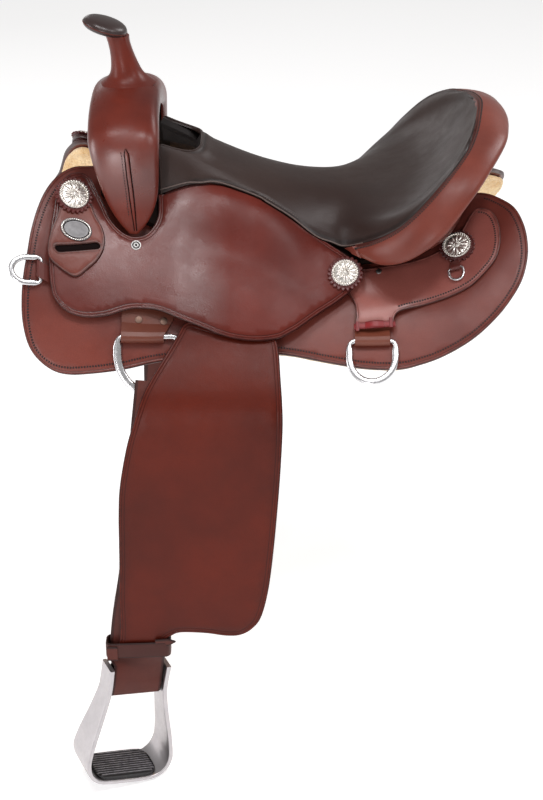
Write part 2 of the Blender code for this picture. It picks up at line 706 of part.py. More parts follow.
def cantle_strip(near, far, drop_in, steps=24):
    """Curved board that stands on the bars under the cantle's edge."""
    feet = [(x, -y) for x, y in CANTLE_FOOT] + [(x, y) for x, y in reversed(CANTLE_FOOT[:-1])]
    stack = []
    for k in range(steps + 1):
        u = 10 * k / steps
        r = spline(ROLL_ALL, u + 3)
        b, o = Vector(r[:3]), Vector(r[3:])
        out = Vector((o.x - b.x, o.y - b.y, 0)).normalized()
        gx, gy = spline(feet, u)
        yy = max(abs(gy), 50.0)
        # height at which this foot point clears the bars
        zz = 0.0
        for n in (BAR[1] + 0.003,):
            lo, hi = 0.02, 0.30
            for _ in range(30):
                mid = (lo + hi) / 2
                if -base(gx / 1000.0, mid, n).y < yy / 1000.0:
                    lo = mid
                else:
                    hi = mid
            zz = base(gx / 1000.0, lo, n).z * 1000.0
        high = 1 - abs(u - 5) / 5
        top = b + out * (-1.0 + 6.0 * smoothstep(high * 1.6)) + Vector((0, 0, -drop_in - 14 * (1 - smoothstep(high * 2))))
        foot = Vector((gx, gy, zz))
        ring = []
        for h in (0.0, 0.5, 1.0):
            p = foot.lerp(top, h)
            ring.append((p + out * near) / 1000.0)
        for h in (1.0, 0.5, 0.0):
            p = foot.lerp(top, h)
            ring.append((p + out * far) / 1000.0)
        stack.append(ring)
    return caps_as_fans(*rings(stack))


v, f = cantle_strip(-3, 6, 17)
node("tree_cantle", v, f, WOOD)
v, f = cantle_strip(8.2, 10.8, 18)
node("cantle_back", v, f, LEATHER)

# ------------------------------------------------------------ keeper, badge, conchos
KEEPER_PATTERN = [(-256, 104), (-258, 123), (-265, 147), (-269, 168), (-267, 182), (-255, 188), (-236, 190),
                  (-220, 173), (-208, 156), (-202, 137), (-205, 121), (-214, 108), (-221, 94), (-228, 82),
                  (-241, 76), (-252, 86)]


def slot_shape(x0, s0, x1, s1, half):
    d = np.array([x1 - x0, s1 - s0], float)
    ln = np.linalg.norm(d)
    d /= ln
    w = np.array([-d[1], d[0]])
    a, b = np.array([x0, s0], float), np.array([x1, s1], float)
    out = []
    for t in (0.0, 0.25, 0.5, 0.75, 1.0):
        out.append(tuple(a + (b - a) * t + w * half))
    out.append(tuple(b + d * half))
    for t in (1.0, 0.75, 0.5, 0.25, 0.0):
        out.append(tuple(a + (b - a) * t - w * half))
    out.append(tuple(a - d * half))
    return out


def keeper_low(x, s):
    return table(JOCKEY_TOP, x) + 0.0008


def keeper_top(x, s):
    return keeper_low(x, s) + 0.0034


v, f = panel(KEEPER_PATTERN, keeper_low, keeper_top, 0.013, holes=[slot_shape(-257, 167, -211, 143, 3.2)])
pair("latigo_keeper", v, f, LEATHER_DARK)


def oval(cx, cs, a, b, rot, n=16):
    out = []
    for k in range(n):
        t = 2 * math.pi * k / n
        p, q = a * math.cos(t), b * math.sin(t)
        out.append((cx + p * math.cos(rot) - q * math.sin(rot), cs + p * math.sin(rot) + q * math.cos(rot)))
    return out


v, f = panel(oval(-236, 135, 19.5, 12.5, math.radians(-27)), lambda x, s: keeper_top(x, s) + 0.0004,
             lambda x, s: keeper_top(x, s) + 0.0024, 0.008)
pair("keeper_badge", v, f, SILVER)


def rest_on(top, x, s, r):
    """Place and normal of a flat disc of radius r resting on a leather's top."""
    h = 0.6 * r
    c = base(x, s, top(x, s))
    dx = base(x + h, s, top(x + h, s)) - base(x - h, s, top(x - h, s))
    ds = base(x, s + h, top(x, s + h)) - base(x, s - h, top(x, s - h))
    nrm = ds.cross(dx).normalized()
    if nrm.z < 0:
        nrm = -nrm
    lift = 0.0
    for k in range(24):
        a = math.pi * k / 12
        for q in (0.5, 1.0):
            xx, ss = x + r * q * math.cos(a), s + r * q * math.sin(a)
            lift = max(lift, (base(xx, ss, top(xx, ss)) - c).dot(nrm))
    return c + nrm * (lift + 0.0004), nrm


def concho(name, x, s, top, r_leather, r_metal, petals=16):
    p, ax = rest_on(top, x / 1000.0, s / 1000.0, r_leather / 1.0)

    def scallop(a, r):
        return 1.0 + (0.035 * math.cos(petals * a) if r > r_leather * 0.95 else 0.0)
    v, f = lathe([(0, 0.0), (r_leather * 0.6, 0.0), (r_leather, 0.0), (r_leather, 0.0024), (r_metal + 0.0004, 0.0029),
                  (r_metal, 0.0031), (r_metal, 0.0046), (r_metal * 0.86, 0.0062), (r_metal * 0.68, 0.0052),
                  (r_metal * 0.42, 0.0068), (0, 0.0076)], p, ax, petals * 2, wobble=scallop)
    pair(name, v, f, SILVER)


concho("concho_front", -241, 96, keeper_top, 0.0205, 0.0172)
concho("concho_mid", 90.5, 126, jockey_top, 0.0190, 0.0150)
concho("concho_rear", 228, 108, rear_jockey_top, 0.0185, 0.0155)

# ------------------------------------------------------------ rigging with dees
v, f = fold(-0.156, 0.0255, 0.2295, SKIRT[1] + 0.0010 + 0.0065, 0.0045, PLY, 0.188, shear=-0.30, back_end=0.125,
            flare=0.45)
pair("front_rigging_plate", v, f, LEATHER_DARK)
v, f = fold(0.1225, 0.0212, 0.2065, SKIRT[1] + 0.0007 + 0.0055, 0.0037, 0.0019, 0.172, shear=0.10)
pair("rear_rigging_loop", v, f, LEATHER_DARK)
v, f = fold(0.2005, 0.0095, -0.2775, SKIRT[1] + 0.0007 + 0.0050, 0.0033, 0.0017, -0.246, along="s", seg=3)
pair("breast_tab", v, f, LEATHER_DARK)
v, f = fold(0.2240, 0.0060, 0.1365, 0.0240 + 0.0033, 0.0019, 0.0012, 0.1276, seg=2)
pair("small_dee_strap", v, f, LEATHER_DARK)


def bar_frame(xa, sa, xb, sb, n, tip=0.0):
    """Middle, bar direction and hanging direction of a dee tipped inward."""
    a, b = base(xa, sa, n), base(xb, sb, n)
    p0 = (a + b) / 2
    e_bar = (b - a).normalized()
    nrm = base_normal((xa + xb) / 2, (sa + sb) / 2, n)
    nrm = (nrm - e_bar * nrm.dot(e_bar)).normalized()
    hang = nrm.cross(e_bar)
    if hang.z > 0:
        hang = -hang
    hang = (hang * math.cos(tip) - nrm * math.sin(tip)).normalized()
    return p0, e_bar, hang


n_front = SKIRT[1] + 0.0010 + 0.0065
p0, eb, eh = bar_frame(-0.150 - 0.030, 0.2295 + 0.30 * 0.024, -0.150 + 0.030, 0.2295 - 0.30 * 0.036, n_front,
                       math.radians(8.6))
v, f = dee(p0, eb, eh, 0.0368, 0.0662, 0.020, 0.0033, 0.0028, 0.0074, 0.0052)
pair("front_dee", v, f, STEEL, p0)
FRONT_DEE = (p0, eb)
n_rear = SKIRT[1] + 0.0007 + 0.0055
p0, eb, eh = bar_frame(0.1225 - 0.0215, 0.2065 - 0.0021, 0.1225 + 0.0215, 0.2065 + 0.0021, n_rear)
v, f = dee(p0, eb, eh, 0.0280, 0.0512, 0.020, 0.0031, 0.0029, 0.007, 0.0042)
pair("rear_dee", v, f, STEEL, p0)
REAR_DEE = (p0, eb)

# breast collar dee: its bar runs down the side and it reaches forward
nb = SKIRT[1] + 0.0007 + 0.0050
pa, pb = base(-0.2775, 0.1900, nb), base(-0.2775, 0.2110, nb)
p0, eb = (pa + pb) / 2, (pb - pa).normalized()
nrm = base_normal(-0.2775, 0.2005, nb)
nrm = (nrm - eb * nrm.dot(eb)).normalized()
eh = nrm.cross(eb)
if eh.x > 0:
    eh = -eh
v, f = dee(p0, eb, eh, 0.0155, 0.0358, 0.016, 0.0027, 0.0026, 0.0043, 0.0035)
node("breast_dee_near", v, f, STEEL, p0)
back = eh * math.cos(BREAST_BACK) + nrm * math.sin(BREAST_BACK)
v, f = dee(p0, eb, back, 0.0155, 0.0358, 0.016, 0.0027, 0.0026, 0.0043, 0.0035)
node("breast_dee_off", [Vector((q.x, -q.y, q.z)) for q in v], [tuple(reversed(q)) for q in f], STEEL,
     (p0.x, -p0.y, p0.z))
BREAST_DEE = (p0, eb)

ns = 0.0240 + 0.0033
p0, eb, eh = bar_frame(0.2180, 0.1365, 0.2300, 0.1365, ns)
v, f = dee(p0, eb, eh, 0.0090, 0.0165, 0.006, 0.0015, 0.0015, 0.003)
pair("small_dee", v, f, STEEL, p0)
SMALL_DEE = (p0, eb)

# ------------------------------------------------------------ fender and stirrup leather
# side view of the hanging leg across the horse: (y, z) of the fender's middle
LEG = [(171, -34), (191, -65.5), (213, -91.5), (235, -119), (247, -150), (252, -200), (254, -300), (255, -400),
       (255, -530), (255, -700)]
_c = [spline(LEG, k / 16.0) / 1000.0 for k in range(16 * (len(LEG) - 1) + 1)]
_c = np.array(_c)
_run = np.concatenate([[0], np.cumsum(np.linalg.norm(np.diff(_c, axis=0), axis=1))])


def leg_point(q):
    return float(np.interp(q, _run, _c[:, 0])), float(np.interp(q, _run, _c[:, 1]))


def hang(x, q, off):
    """Point of the hanging leg; q runs down it and off is outward."""
    y, z = leg_point(q)
    y1, z1 = leg_point(q + 0.002)
    y0, z0 = leg_point(q - 0.002)
    t = Vector((0, y1 - y0, z1 - z0)).normalized()
    out = Vector((0, -t.z, t.y))
    if out.y < 0:
        out = -out
    p = Vector((x, y, z)) + out * off
    return Vector((p.x, -p.y, p.z))


FENDER_PATTERN = [(-107, 14), (-115, 28), (-130, 55), (-145, 82), (-156, 105), (-167, 138), (-176, 170), (-185, 219),
                  (-188, 258), (-189, 298), (-190, 338), (-192, 378), (-192, 415), (-193, 436), (-194, 449),
                  (-189, 454), (-165, 454.5), (-143, 454), (-138, 450), (-135, 442), (-127, 436), (-115, 431), (-84, 432),
                  (-58, 436), (-40, 435), (-25, 426), (-13, 408), (-4, 369), (2, 318), (7, 258), (11, 199),
                  (13.5, 144), (13, 114), (11, 82), (7.5, 49), (3, 43), (-12, 44), (-30, 44), (-48, 41), (-66, 34),
                  (-84, 26), (-98, 18)]
v, f = panel(FENDER_PATTERN, -FENDER_T / 2, FENDER_T / 2, 0.027, place=hang)
LEG_AXIS_A, LEG_AXIS_B = hang(-0.105, 0.013, 0), hang(0.004, 0.038, 0)
leg_origin = (LEG_AXIS_A + LEG_AXIS_B) / 2
pair("fender", v, f, LEATHER_DARK, leg_origin)


def strap_mid(z):
    """Middle of the fender plane where the strap runs."""
    x = float(np.interp(-z, [0.10, 0.20, 0.47, 0.54], [-0.131, -0.142, -0.1695, -0.1695]))
    ys = float(np.interp(-z, [-r[1] / 1000.0 for r in LEG[1:]], [r[0] / 1000.0 for r in LEG[1:]]))
    return Vector((x, -ys, z))


def strap_section():
    """Path of the doubled strap in (inward d, z), outer ply then round the bolt."""
    d_bolt = 0.0080
    r = 0.0078 + STRAP_T / 2
    pts = []
    for z in (-0.106, -0.115, -0.126, -0.138, -0.150, -0.165, -0.185, -0.22, -0.27, -0.32, -0.37, -0.42, -0.455):
        steep = smoothstep((0.165 + z) / 0.05)     # the leg leans out at the top
        pts.append((FENDER_T / 2 + 0.0011 + STRAP_T / 2 + 0.0034 * steep, z))
    pts += [(0.0048, -0.474), (0.0022, -0.492), (d_bolt - r + 0.0012, -0.510), (d_bolt - r, -0.520)]
    for k in range(1, 8):
        a = math.pi + math.pi * k / 8
        pts.append((d_bolt + r * math.cos(a), BOLT_Z + r * math.sin(a)))
    pts += [(d_bolt + r, -0.520), (d_bolt + r - 0.0012, -0.508), (0.0132, -0.490), (0.0112, -0.470),
            (0.0106, -0.450), (0.0106, -0.41), (0.0106, -0.36), (0.0106, -0.31), (0.0106, -0.27)]
    return pts


TURN_W = Vector((math.cos(TWIST), math.sin(TWIST), 0.0))
S_IN = Vector((-math.sin(TWIST), math.cos(TWIST), 0.0))                 # from the near face inward
STIR = [(39.0, 33, 16), (38.5, 20, 16.5), (38.2, 5, 16.8), (39.5, -10, 17), (45.5, -40, 20.5), (52.5, -70, 25),
        (56.0, -90, 28), (56.5, -101, 29.5), (53.5, -113, 30), (46, -122.5, 30), (35.5, -127.5, 30), (18, -129, 30),
        (0, -129, 30)]
STIR_ALL = [(-a, z, d) for a, z, d in STIR] + [(a, z, d) for a, z, d in reversed(STIR[:-1])]
STIRRUPS = {}


def place_on(side, name, verts, faces, mat, origin):
    """Put a piece worked out for the near side on the side that is asked for."""
    if side == "off":
        verts = [Vector((v.x, -v.y, v.z)) for v in verts]
        faces = [tuple(reversed(f)) for f in faces]
        origin = (origin[0], -origin[1], origin[2])
    node(name + "_" + side, verts, faces, mat, origin)


def neck_and_stirrup(side):
    slant = SLANTS[side]
    s_w = TURN_W * math.cos(slant) - Vector((0, 0, math.sin(slant)))    # along the bolt
    s_up = TURN_W * math.sin(slant) + Vector((0, 0, math.cos(slant)))
    sc = strap_mid(-0.48) + Vector((0.0022 - 0.045 * math.sin(slant), 0, 0)) + S_IN * 0.0080
    sc.z = BOLT_Z
    STIRRUPS[side] = (sc, s_w, s_up)

    def at(w, h, d):
        """Point of the stirrup in mm: along the bolt, up, and inward."""
        return sc + (s_w * w + s_up * h + S_IN * d) / 1000.0

    pts = []
    for d, z in strap_section():
        plain = strap_mid(z) + Vector((0, d, 0))
        turned = at(0, (z - BOLT_Z) * 1000, d * 1000 - 8.0)
        g = smoothstep((-0.474 - z) / 0.027)
        pts.append((plain.lerp(turned, g), Vector((1, 0, 0)).lerp(s_w, g).normalized()))
    stack = []
    for i, (c, w) in enumerate(pts):
        along = (pts[min(len(pts) - 1, i + 1)][0] - pts[max(0, i - 1)][0]).normalized()
        across = (w - along * w.dot(along)).normalized()
        thick = along.cross(across) * (STRAP_T / 2)
        cols = (-1.0, -0.5, 0.0, 0.5, 1.0)
        half = 0.0328 + 0.0014 * smoothstep((-0.490 - c.z) / 0.02)
        stack.append([c + across * (half * q) - thick for q in cols]
                     + [c + across * (half * q) + thick for q in reversed(cols)])
    v, f = rings(stack)
    m = 10
    f = [q for q in f if len(q) == 4]
    for row, flip in ((0, True), (len(stack) - 1, False)):
        for j in range(4):
            q = (row * m + j, row * m + j + 1, row * m + 8 - j, row * m + 9 - j)
            f.append(tuple(reversed(q)) if flip else q)
    place_on(side, "stirrup_leather", v, f, LEATHER_DARK, leg_origin)

    stack = []
    last = len(STIR_ALL) - 1
    for i, (a, z, d) in enumerate(STIR_ALL):
        p, q = STIR_ALL[max(0, i - 1)], STIR_ALL[min(last, i + 1)]
        t = np.array([q[0] - p[0], q[1] - p[1]], float)
        t /= np.linalg.norm(t)
        nn = np.array([-t[1], t[0]])                # inward of the bow
        stack.append([at(a + nn[0] * st * 2.7, z + nn[1] * st * 2.7, sd * d) for sd, st in
                      ((-1, -0.7), (-0.93, -1), (0.93, -1), (1, -0.7), (1, 0.7), (0.93, 1), (-0.93, 1), (-1, 0.7))])
    v, f = caps_as_fans(*rings(stack))
    place_on(side, "stirrup", v, f, ALU, sc)

    r = BOLT_R * 1000
    v, f = caps_as_fans(*rings([[at(ww, r * math.sin(2 * math.pi * k / 12), r * math.cos(2 * math.pi * k / 12))
                                 for k in range(12)] for ww in (-34.9, 34.9)]))
    place_on(side, "stirrup_bolt", v, f, STEEL, sc)

    stack = []
    for ww, dd in ((-42, 17), (-39.5, 22), (-34, 26.5), (0, 27.5), (34, 26.5), (39.5, 22), (42, 17)):
        z0 = -125.8 + 5.4 * smoothstep((abs(ww) - 29) / 14)
        stack.append([at(ww, zz, sd * dd) for sd, zz in
                      ((-1, z0), (1, z0), (1, -120.0), (0.94, -118.6), (-0.94, -118.6), (-1, -120.0))])
    v, f = caps_as_fans(*rings(stack))
    place_on(side, "stirrup_tread", v, f, RUBBER, sc)


neck_and_stirrup("near")
neck_and_stirrup("off")

# hobble strap round the neck
stack = []
zc, hh, th = -0.4650, 0.0110, 0.0030
mm_ = strap_mid(zc)
cx = -0.1685
x0, x1 = cx - 0.0400, cx + 0.0372
y0, y1 = mm_.y - 0.0042, mm_.y + 0.0152
corner = 0.0045


def rounded_rect(x0, x1, y0, y1, r, k=3):
    out = []
    for cx_, cy_, a0 in ((x1 - r, y1 - r, 0), (x0 + r, y1 - r, 90), (x0 + r, y0 + r, 180), (x1 - r, y0 + r, 270)):
        for j in range(k + 1):
            a = math.radians(a0 + 90 * j / k)
            out.append((cx_ + r * math.cos(a), cy_ + r * math.sin(a)))
    return out


inn_l = rounded_rect(x0, x1, y0, y1, corner)
out_l = rounded_rect(x0 - th, x1 + th, y0 - th, y1 + th, corner + th)
for (ix, iy), (ox, oy) in zip(inn_l, out_l):
    dz = 0.004 * (ix - cx) / 0.0385 * 0.35
    stack.append([Vector((ix, iy, zc - hh + dz)), Vector((ox, oy, zc - hh + dz)), Vector((ox, oy, zc + hh + dz)),
                  Vector((ix, iy, zc + hh + dz))])
v, f = rings(stack, True)
pair("hobble_strap", v, f, LEATHER_DARK, leg_origin)

# hanger: the strap from the tree bar to the fender, under the jockey
HANGER_PATTERN = [(-134, 106), (-137, 130), (-140, 155), (-139, 174), (-120, 180), (-95, 184), (-74, 182), (-72, 160),
                  (-74, 130), (-76, 106), (-90, 105), (-120, 105)]
v, f = panel(HANGER_PATTERN, 0.0255, 0.0255 + STRAP_T, 0.020)
PIVOT = base(-0.105, 0.112, 0.0270)
pair("stirrup_hanger", v, f, LEATHER_DARK, PIVOT)
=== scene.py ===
"""Looks of the gaited western saddle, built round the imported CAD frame.

The frame is the CAD's: X rearward, Y to the off side, Z up, metres.  Leather is
cut to the same patterns as the CAD, on the same base surface, but finely, with
rounded edges, creases and sewn stitches as real shape.
"""
import json
import math

import bpy
import numpy as np
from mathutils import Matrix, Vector
from mathutils.geometry import delaunay_2d_cdt

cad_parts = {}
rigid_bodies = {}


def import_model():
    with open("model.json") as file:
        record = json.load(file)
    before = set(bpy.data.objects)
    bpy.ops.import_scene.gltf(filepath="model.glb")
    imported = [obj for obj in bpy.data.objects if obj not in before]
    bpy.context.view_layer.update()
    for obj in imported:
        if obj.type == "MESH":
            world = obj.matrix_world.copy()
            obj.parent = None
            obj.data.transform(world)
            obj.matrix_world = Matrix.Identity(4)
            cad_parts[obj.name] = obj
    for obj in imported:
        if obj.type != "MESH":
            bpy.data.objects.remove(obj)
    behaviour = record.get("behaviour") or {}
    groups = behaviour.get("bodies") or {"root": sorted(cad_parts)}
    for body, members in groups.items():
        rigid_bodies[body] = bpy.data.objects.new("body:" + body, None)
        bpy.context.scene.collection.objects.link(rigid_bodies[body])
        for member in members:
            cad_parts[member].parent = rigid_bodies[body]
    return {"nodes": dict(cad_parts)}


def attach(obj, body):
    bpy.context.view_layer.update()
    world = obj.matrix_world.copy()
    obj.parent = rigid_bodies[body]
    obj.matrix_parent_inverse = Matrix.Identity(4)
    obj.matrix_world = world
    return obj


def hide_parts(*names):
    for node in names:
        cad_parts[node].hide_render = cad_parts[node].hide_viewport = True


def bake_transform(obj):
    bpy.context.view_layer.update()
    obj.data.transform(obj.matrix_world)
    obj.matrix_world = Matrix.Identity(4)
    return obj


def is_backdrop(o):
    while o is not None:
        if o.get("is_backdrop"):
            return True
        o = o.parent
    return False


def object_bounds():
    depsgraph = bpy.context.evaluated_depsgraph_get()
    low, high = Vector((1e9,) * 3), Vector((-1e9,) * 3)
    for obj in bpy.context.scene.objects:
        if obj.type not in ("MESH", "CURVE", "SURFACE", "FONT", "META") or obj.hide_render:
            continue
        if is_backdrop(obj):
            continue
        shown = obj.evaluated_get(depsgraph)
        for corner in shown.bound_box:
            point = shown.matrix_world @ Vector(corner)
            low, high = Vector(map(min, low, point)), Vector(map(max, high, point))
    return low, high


for ob in list(bpy.data.objects):
    bpy.data.objects.remove(ob, do_unlink=True)

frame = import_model()
NODES = frame["nodes"]
lo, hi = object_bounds()
SIZE = {"cad": [list(lo), list(hi)]}
FINE = 1.0               # scale of the mesh steps; a larger value gives a coarser mesh

# ------------------------------------------------------------ base surface
X_FRONT, X_REAR = -0.31, 0.31
RIDGE = (0.165, 0.042, 0.090)
SLOPE_TOP = (33.0, 28.0, 22.0)
SLOPE_LOW = (76.0, 66.0, 66.0)
ARC = 0.35
FLEECE = (0.0, 0.0120)
SKIRT = (0.0128, 0.0185)
PLY = 0.0022
JOCKEY_T = 0.0045
FENDER_T = 0.0044
STRAP_T = 0.0035
TWIST = math.radians(24.0)
SLANTS = {"near": math.radians(10.5), "off": math.radians(-3.0)}
BOLT_Z = -0.528


def section(x):
    t = (x - X_FRONT) / (X_REAR - X_FRONT)

    def q(a, m, b):
        return (2 * a - 4 * m + 2 * b) * t * t + (-3 * a + 4 * m - b) * t + a
    p0, p1 = np.radians(q(*SLOPE_TOP)), np.radians(q(*SLOPE_LOW))
    return q(*RIDGE), p0, (p1 - p0) / ARC


def base(x, s, n):
    """Points of the near side at (x, s), n above the base surface."""
    x, s, n = np.broadcast_arrays(np.asarray(x, float), np.asarray(s, float), np.asarray(n, float))
    zr, p0, k = section(x)
    r = 1.0 / k
    ph = p0 + k * s
    return np.stack([x, -((r + n) * np.sin(ph) - r * np.sin(p0)), zr - r * np.cos(p0) + (r + n) * np.cos(ph)], -1)


def unbase(x, y, z):
    zr, p0, k = section(x)
    r = 1.0 / k
    dy, dz = y + r * math.sin(p0), z - zr + r * math.cos(p0)
    return (math.atan2(dy, dz) - p0) / k, math.hypot(dy, dz) - r


def smoothstep(t):
    t = np.clip(t, 0.0, 1.0)
    return t * t * (3 - 2 * t)


def table(rows, x):
    return np.interp(x, [r[0] for r in rows], [r[1] for r in rows])


def spline(rows, u, closed=False):
    """Catmull-Rom through rows of numbers at parameter u (row index)."""
    n = len(rows)
    i = int(math.floor(u))
    if not closed:
        i = max(0, min(n - 2, i))
    t = u - i
    r = [np.array(rows[j % n] if closed else rows[max(0, min(n - 1, j))], float)
         for j in (i - 1, i, i + 1, i + 2)]
    if not closed:
        if i == 0:
            r[0] = 2 * r[1] - r[2]
        if i == n - 2:
            r[3] = 2 * r[2] - r[1]
    return 0.5 * (2 * r[1] + (r[2] - r[0]) * t + (2 * r[0] - 5 * r[1] + 4 * r[2] - r[3]) * t * t
                  + (3 * r[1] - r[0] - 3 * r[2] + r[3]) * t ** 3)


def resample(pts, step, closed=True):
    pts = np.asarray(pts, float)
    if closed:
        pts = np.vstack([pts, pts[:1]])
    run = np.concatenate([[0], np.cumsum(np.linalg.norm(np.diff(pts, axis=0), axis=1))])
    n = max(3, int(round(run[-1] / step)))
    at = np.linspace(0, run[-1], n + 1)
    if closed:
        at = at[:-1]
    return np.stack([np.interp(at, run, pts[:, k]) for k in range(pts.shape[1])], 1)


def outline(mm, step):
    return resample(np.array([spline(mm, k / 12.0, True) / 1000.0 for k in range(12 * len(mm))]), step)


def area2(loop):
    return float(np.sum(loop[:, 0] * np.roll(loop[:, 1], -1) - np.roll(loop[:, 0], -1) * loop[:, 1]))


def inward(loop):
    """Unit normals that point into the outline."""
    t = np.roll(loop, -1, axis=0) - np.roll(loop, 1, axis=0)
    t /= np.maximum(np.linalg.norm(t, axis=1), 1e-12)[:, None]
    nrm = np.stack([-t[:, 1], t[:, 0]], 1)
    return nrm if area2(loop) > 0 else -nrm


def edge_distance(loops, p):
    """Distance from each point to the nearest of the outlines."""
    a = np.vstack(loops)
    b = np.vstack([np.roll(q, -1, axis=0) for q in loops])
    d = b - a
    dd = np.maximum((d ** 2).sum(1), 1e-18)
    out = np.empty(len(p))
    for i in range(0, len(p), 1500):
        q = p[i:i + 1500]
        rel = q[:, None, :] - a[None]
        t = np.clip((rel * d[None]).sum(2) / dd[None], 0, 1)
        out[i:i + 1500] = np.sqrt((((rel - t[..., None] * d[None]) ** 2).sum(2)).min(1))
    return out


def inside(loop, p):
    x0, y0 = loop[:, 0], loop[:, 1]
    x1, y1 = np.roll(x0, -1), np.roll(y0, -1)
    hit = np.zeros(len(p), bool)
    for i in range(0, len(p), 4000):
        q = p[i:i + 4000]
        c = (y0[None] > q[:, 1:2]) != (y1[None] > q[:, 1:2])
        xx = (x1 - x0)[None] * (q[:, 1:2] - y0[None]) / np.where(y1 == y0, 1e-15, y1 - y0)[None] + x0[None]
        hit[i:i + 4000] = (np.sum(c & (q[:, 0:1] < xx), axis=1) % 2) == 1
    return hit


# ------------------------------------------------------------ materials
def rgb(r, g, b):
    """Linear colour of an sRGB colour given 0 to 255."""
    out = []
    for c in (r, g, b):
        c = c / 255.0
        out.append(c / 12.92 if c <= 0.04045 else ((c + 0.055) / 1.055) ** 2.4)
    return tuple(out) + (1.0,)


class Tree:
    """A material's nodes, made and joined in short lines."""

    def __init__(self, name):
        self.m = bpy.data.materials.new(name)
        self.m.use_nodes = True
        self.t = self.m.node_tree
        self.b = self.t.nodes["Principled BSDF"]
        self.co = self.new("ShaderNodeTexCoord").outputs["Object"]

    def new(self, kind, **values):
        n = self.t.nodes.new(kind)
        for k, v in values.items():
            setattr(n, k, v)
        return n

    def put(self, socket, value):
        if hasattr(value, "links"):
            self.t.links.new(value, socket)
        else:
            socket.default_value = value

    def noise(self, scale, detail=3.0, rough=0.5, vector=None):
        n = self.new("ShaderNodeTexNoise")
        self.put(n.inputs["Vector"], self.co if vector is None else vector)
        n.inputs["Scale"].default_value = scale
        n.inputs["Detail"].default_value = detail
        n.inputs["Roughness"].default_value = rough
        return n.outputs["Fac"]

    def cells(self, scale, feature="F1", vector=None, out="Distance"):
        n = self.new("ShaderNodeTexVoronoi", feature=feature)
        self.put(n.inputs["Vector"], self.co if vector is None else vector)
        n.inputs["Scale"].default_value = scale
        return n.outputs[out]

    def span(self, value, a, b, c=0.0, d=1.0):
        n = self.new("ShaderNodeMapRange")
        self.put(n.inputs["Value"], value)
        for k, v in (("From Min", a), ("From Max", b), ("To Min", c), ("To Max", d)):
            n.inputs[k].default_value = v
        return n.outputs["Result"]

    def math(self, op, a, b=0.0):
        n = self.new("ShaderNodeMath", operation=op)
        self.put(n.inputs[0], a)
        self.put(n.inputs[1], b)
        return n.outputs[0]

    def mix(self, fac, a, b, blend="MIX"):
        n = self.new("ShaderNodeMix", data_type="RGBA", blend_type=blend)
        self.put(n.inputs["Factor"], fac)
        self.put(n.inputs[6], a)
        self.put(n.inputs[7], b)
        return n.outputs[2]

    def along(self, axis):
        n = self.new("ShaderNodeSeparateXYZ")
        self.put(n.inputs[0], self.co)
        return n.outputs[axis]

    def attribute(self, name):
        n = self.new("ShaderNodeAttribute", attribute_name=name)
        return n.outputs["Fac"]

    def bump(self, height, strength, distance, normal=None):
        n = self.new("ShaderNodeBump")
        self.put(n.inputs["Height"], height)
        n.inputs["Strength"].default_value = strength
        n.inputs["Distance"].default_value = distance
        if normal is not None:
            self.t.links.new(normal, n.inputs["Normal"])
        return n.outputs["Normal"]

    def set(self, **values):
        for k, v in values.items():
            self.put(self.b.inputs[k.replace("_", " ")], v)
        return self.m


def leather(name, light, deep, edge, rough=0.42, grain=0.25, coat=0.06, wave=0.22, burnish=0.85, spec=0.40, gloss=None):
    """Oiled skirting leather: mottled dye, fine grain, dark dressed edges, creases darkened partly as painted shade,
    and a lighter edge band of wear and painted highlight.
    """
    t = Tree(name)
    mott = t.span(t.noise(7.0, 4.0, 0.55), 0.34, 0.68)
    fine = t.span(t.noise(46.0, 3.0, 0.6), 0.32, 0.72)
    colour = t.mix(mott, light, deep)
    colour = t.mix(t.math("MULTIPLY", fine, 0.22), colour, deep)
    pores = t.cells(1050.0)
    colour = t.mix(t.span(pores, 0.15, 0.60, 0.0, 0.16), colour, edge)
    dark = t.span(t.attribute("ed"), 0.0010, 0.0032, burnish, 0.0)     # dressing on the cut edge
    colour = t.mix(dark, colour, edge)
    # creases and seams darkened: partly the crease's own tone, partly painted shade
    colour = t.mix(t.attribute("crease_and_shade"), colour, edge)
    # lighter band in from the cut edge: partly wear, partly a painted highlight along the edge
    wear_and_sheen = t.math("MULTIPLY", t.attribute("wear_and_sheen"), t.span(t.noise(90.0, 2.0, 0.7), 0.35, 0.7, 0.1, 0.8))
    colour = t.mix(wear_and_sheen, colour, tuple(min(1.0, c * 2.4) for c in light[:3]) + (1.0,))
    n1 = t.bump(t.noise(26.0, 2.0, 0.5), wave, 0.0040)
    n2 = t.bump(t.math("ADD", t.math("MULTIPLY", pores, 0.7), t.math("MULTIPLY", t.noise(520.0, 3.0, 0.6), 0.6)),
                grain, 0.00035, n1)
    r = t.math("ADD", t.span(t.noise(33.0, 4.0, 0.6), 0.3, 0.7, rough - 0.05, rough + 0.07),
               t.math("MULTIPLY", fine, 0.03))
    mat = t.set(Base_Color=colour, Roughness=r, Normal=n2, Coat_Weight=coat, Coat_Roughness=0.30,
                Specular_IOR_Level=spec)
    if gloss:                      # [(axis, from, to, spec at from, spec at to), ...]: one part is rubbed brighter
        shine = t.span(t.along(gloss[0][0]), *gloss[0][1:])
        for g in gloss[1:]:
            shine = t.math("MULTIPLY", shine, t.span(t.along(g[0]), *g[1:]))
        t.set(Specular_IOR_Level=shine)
    return mat


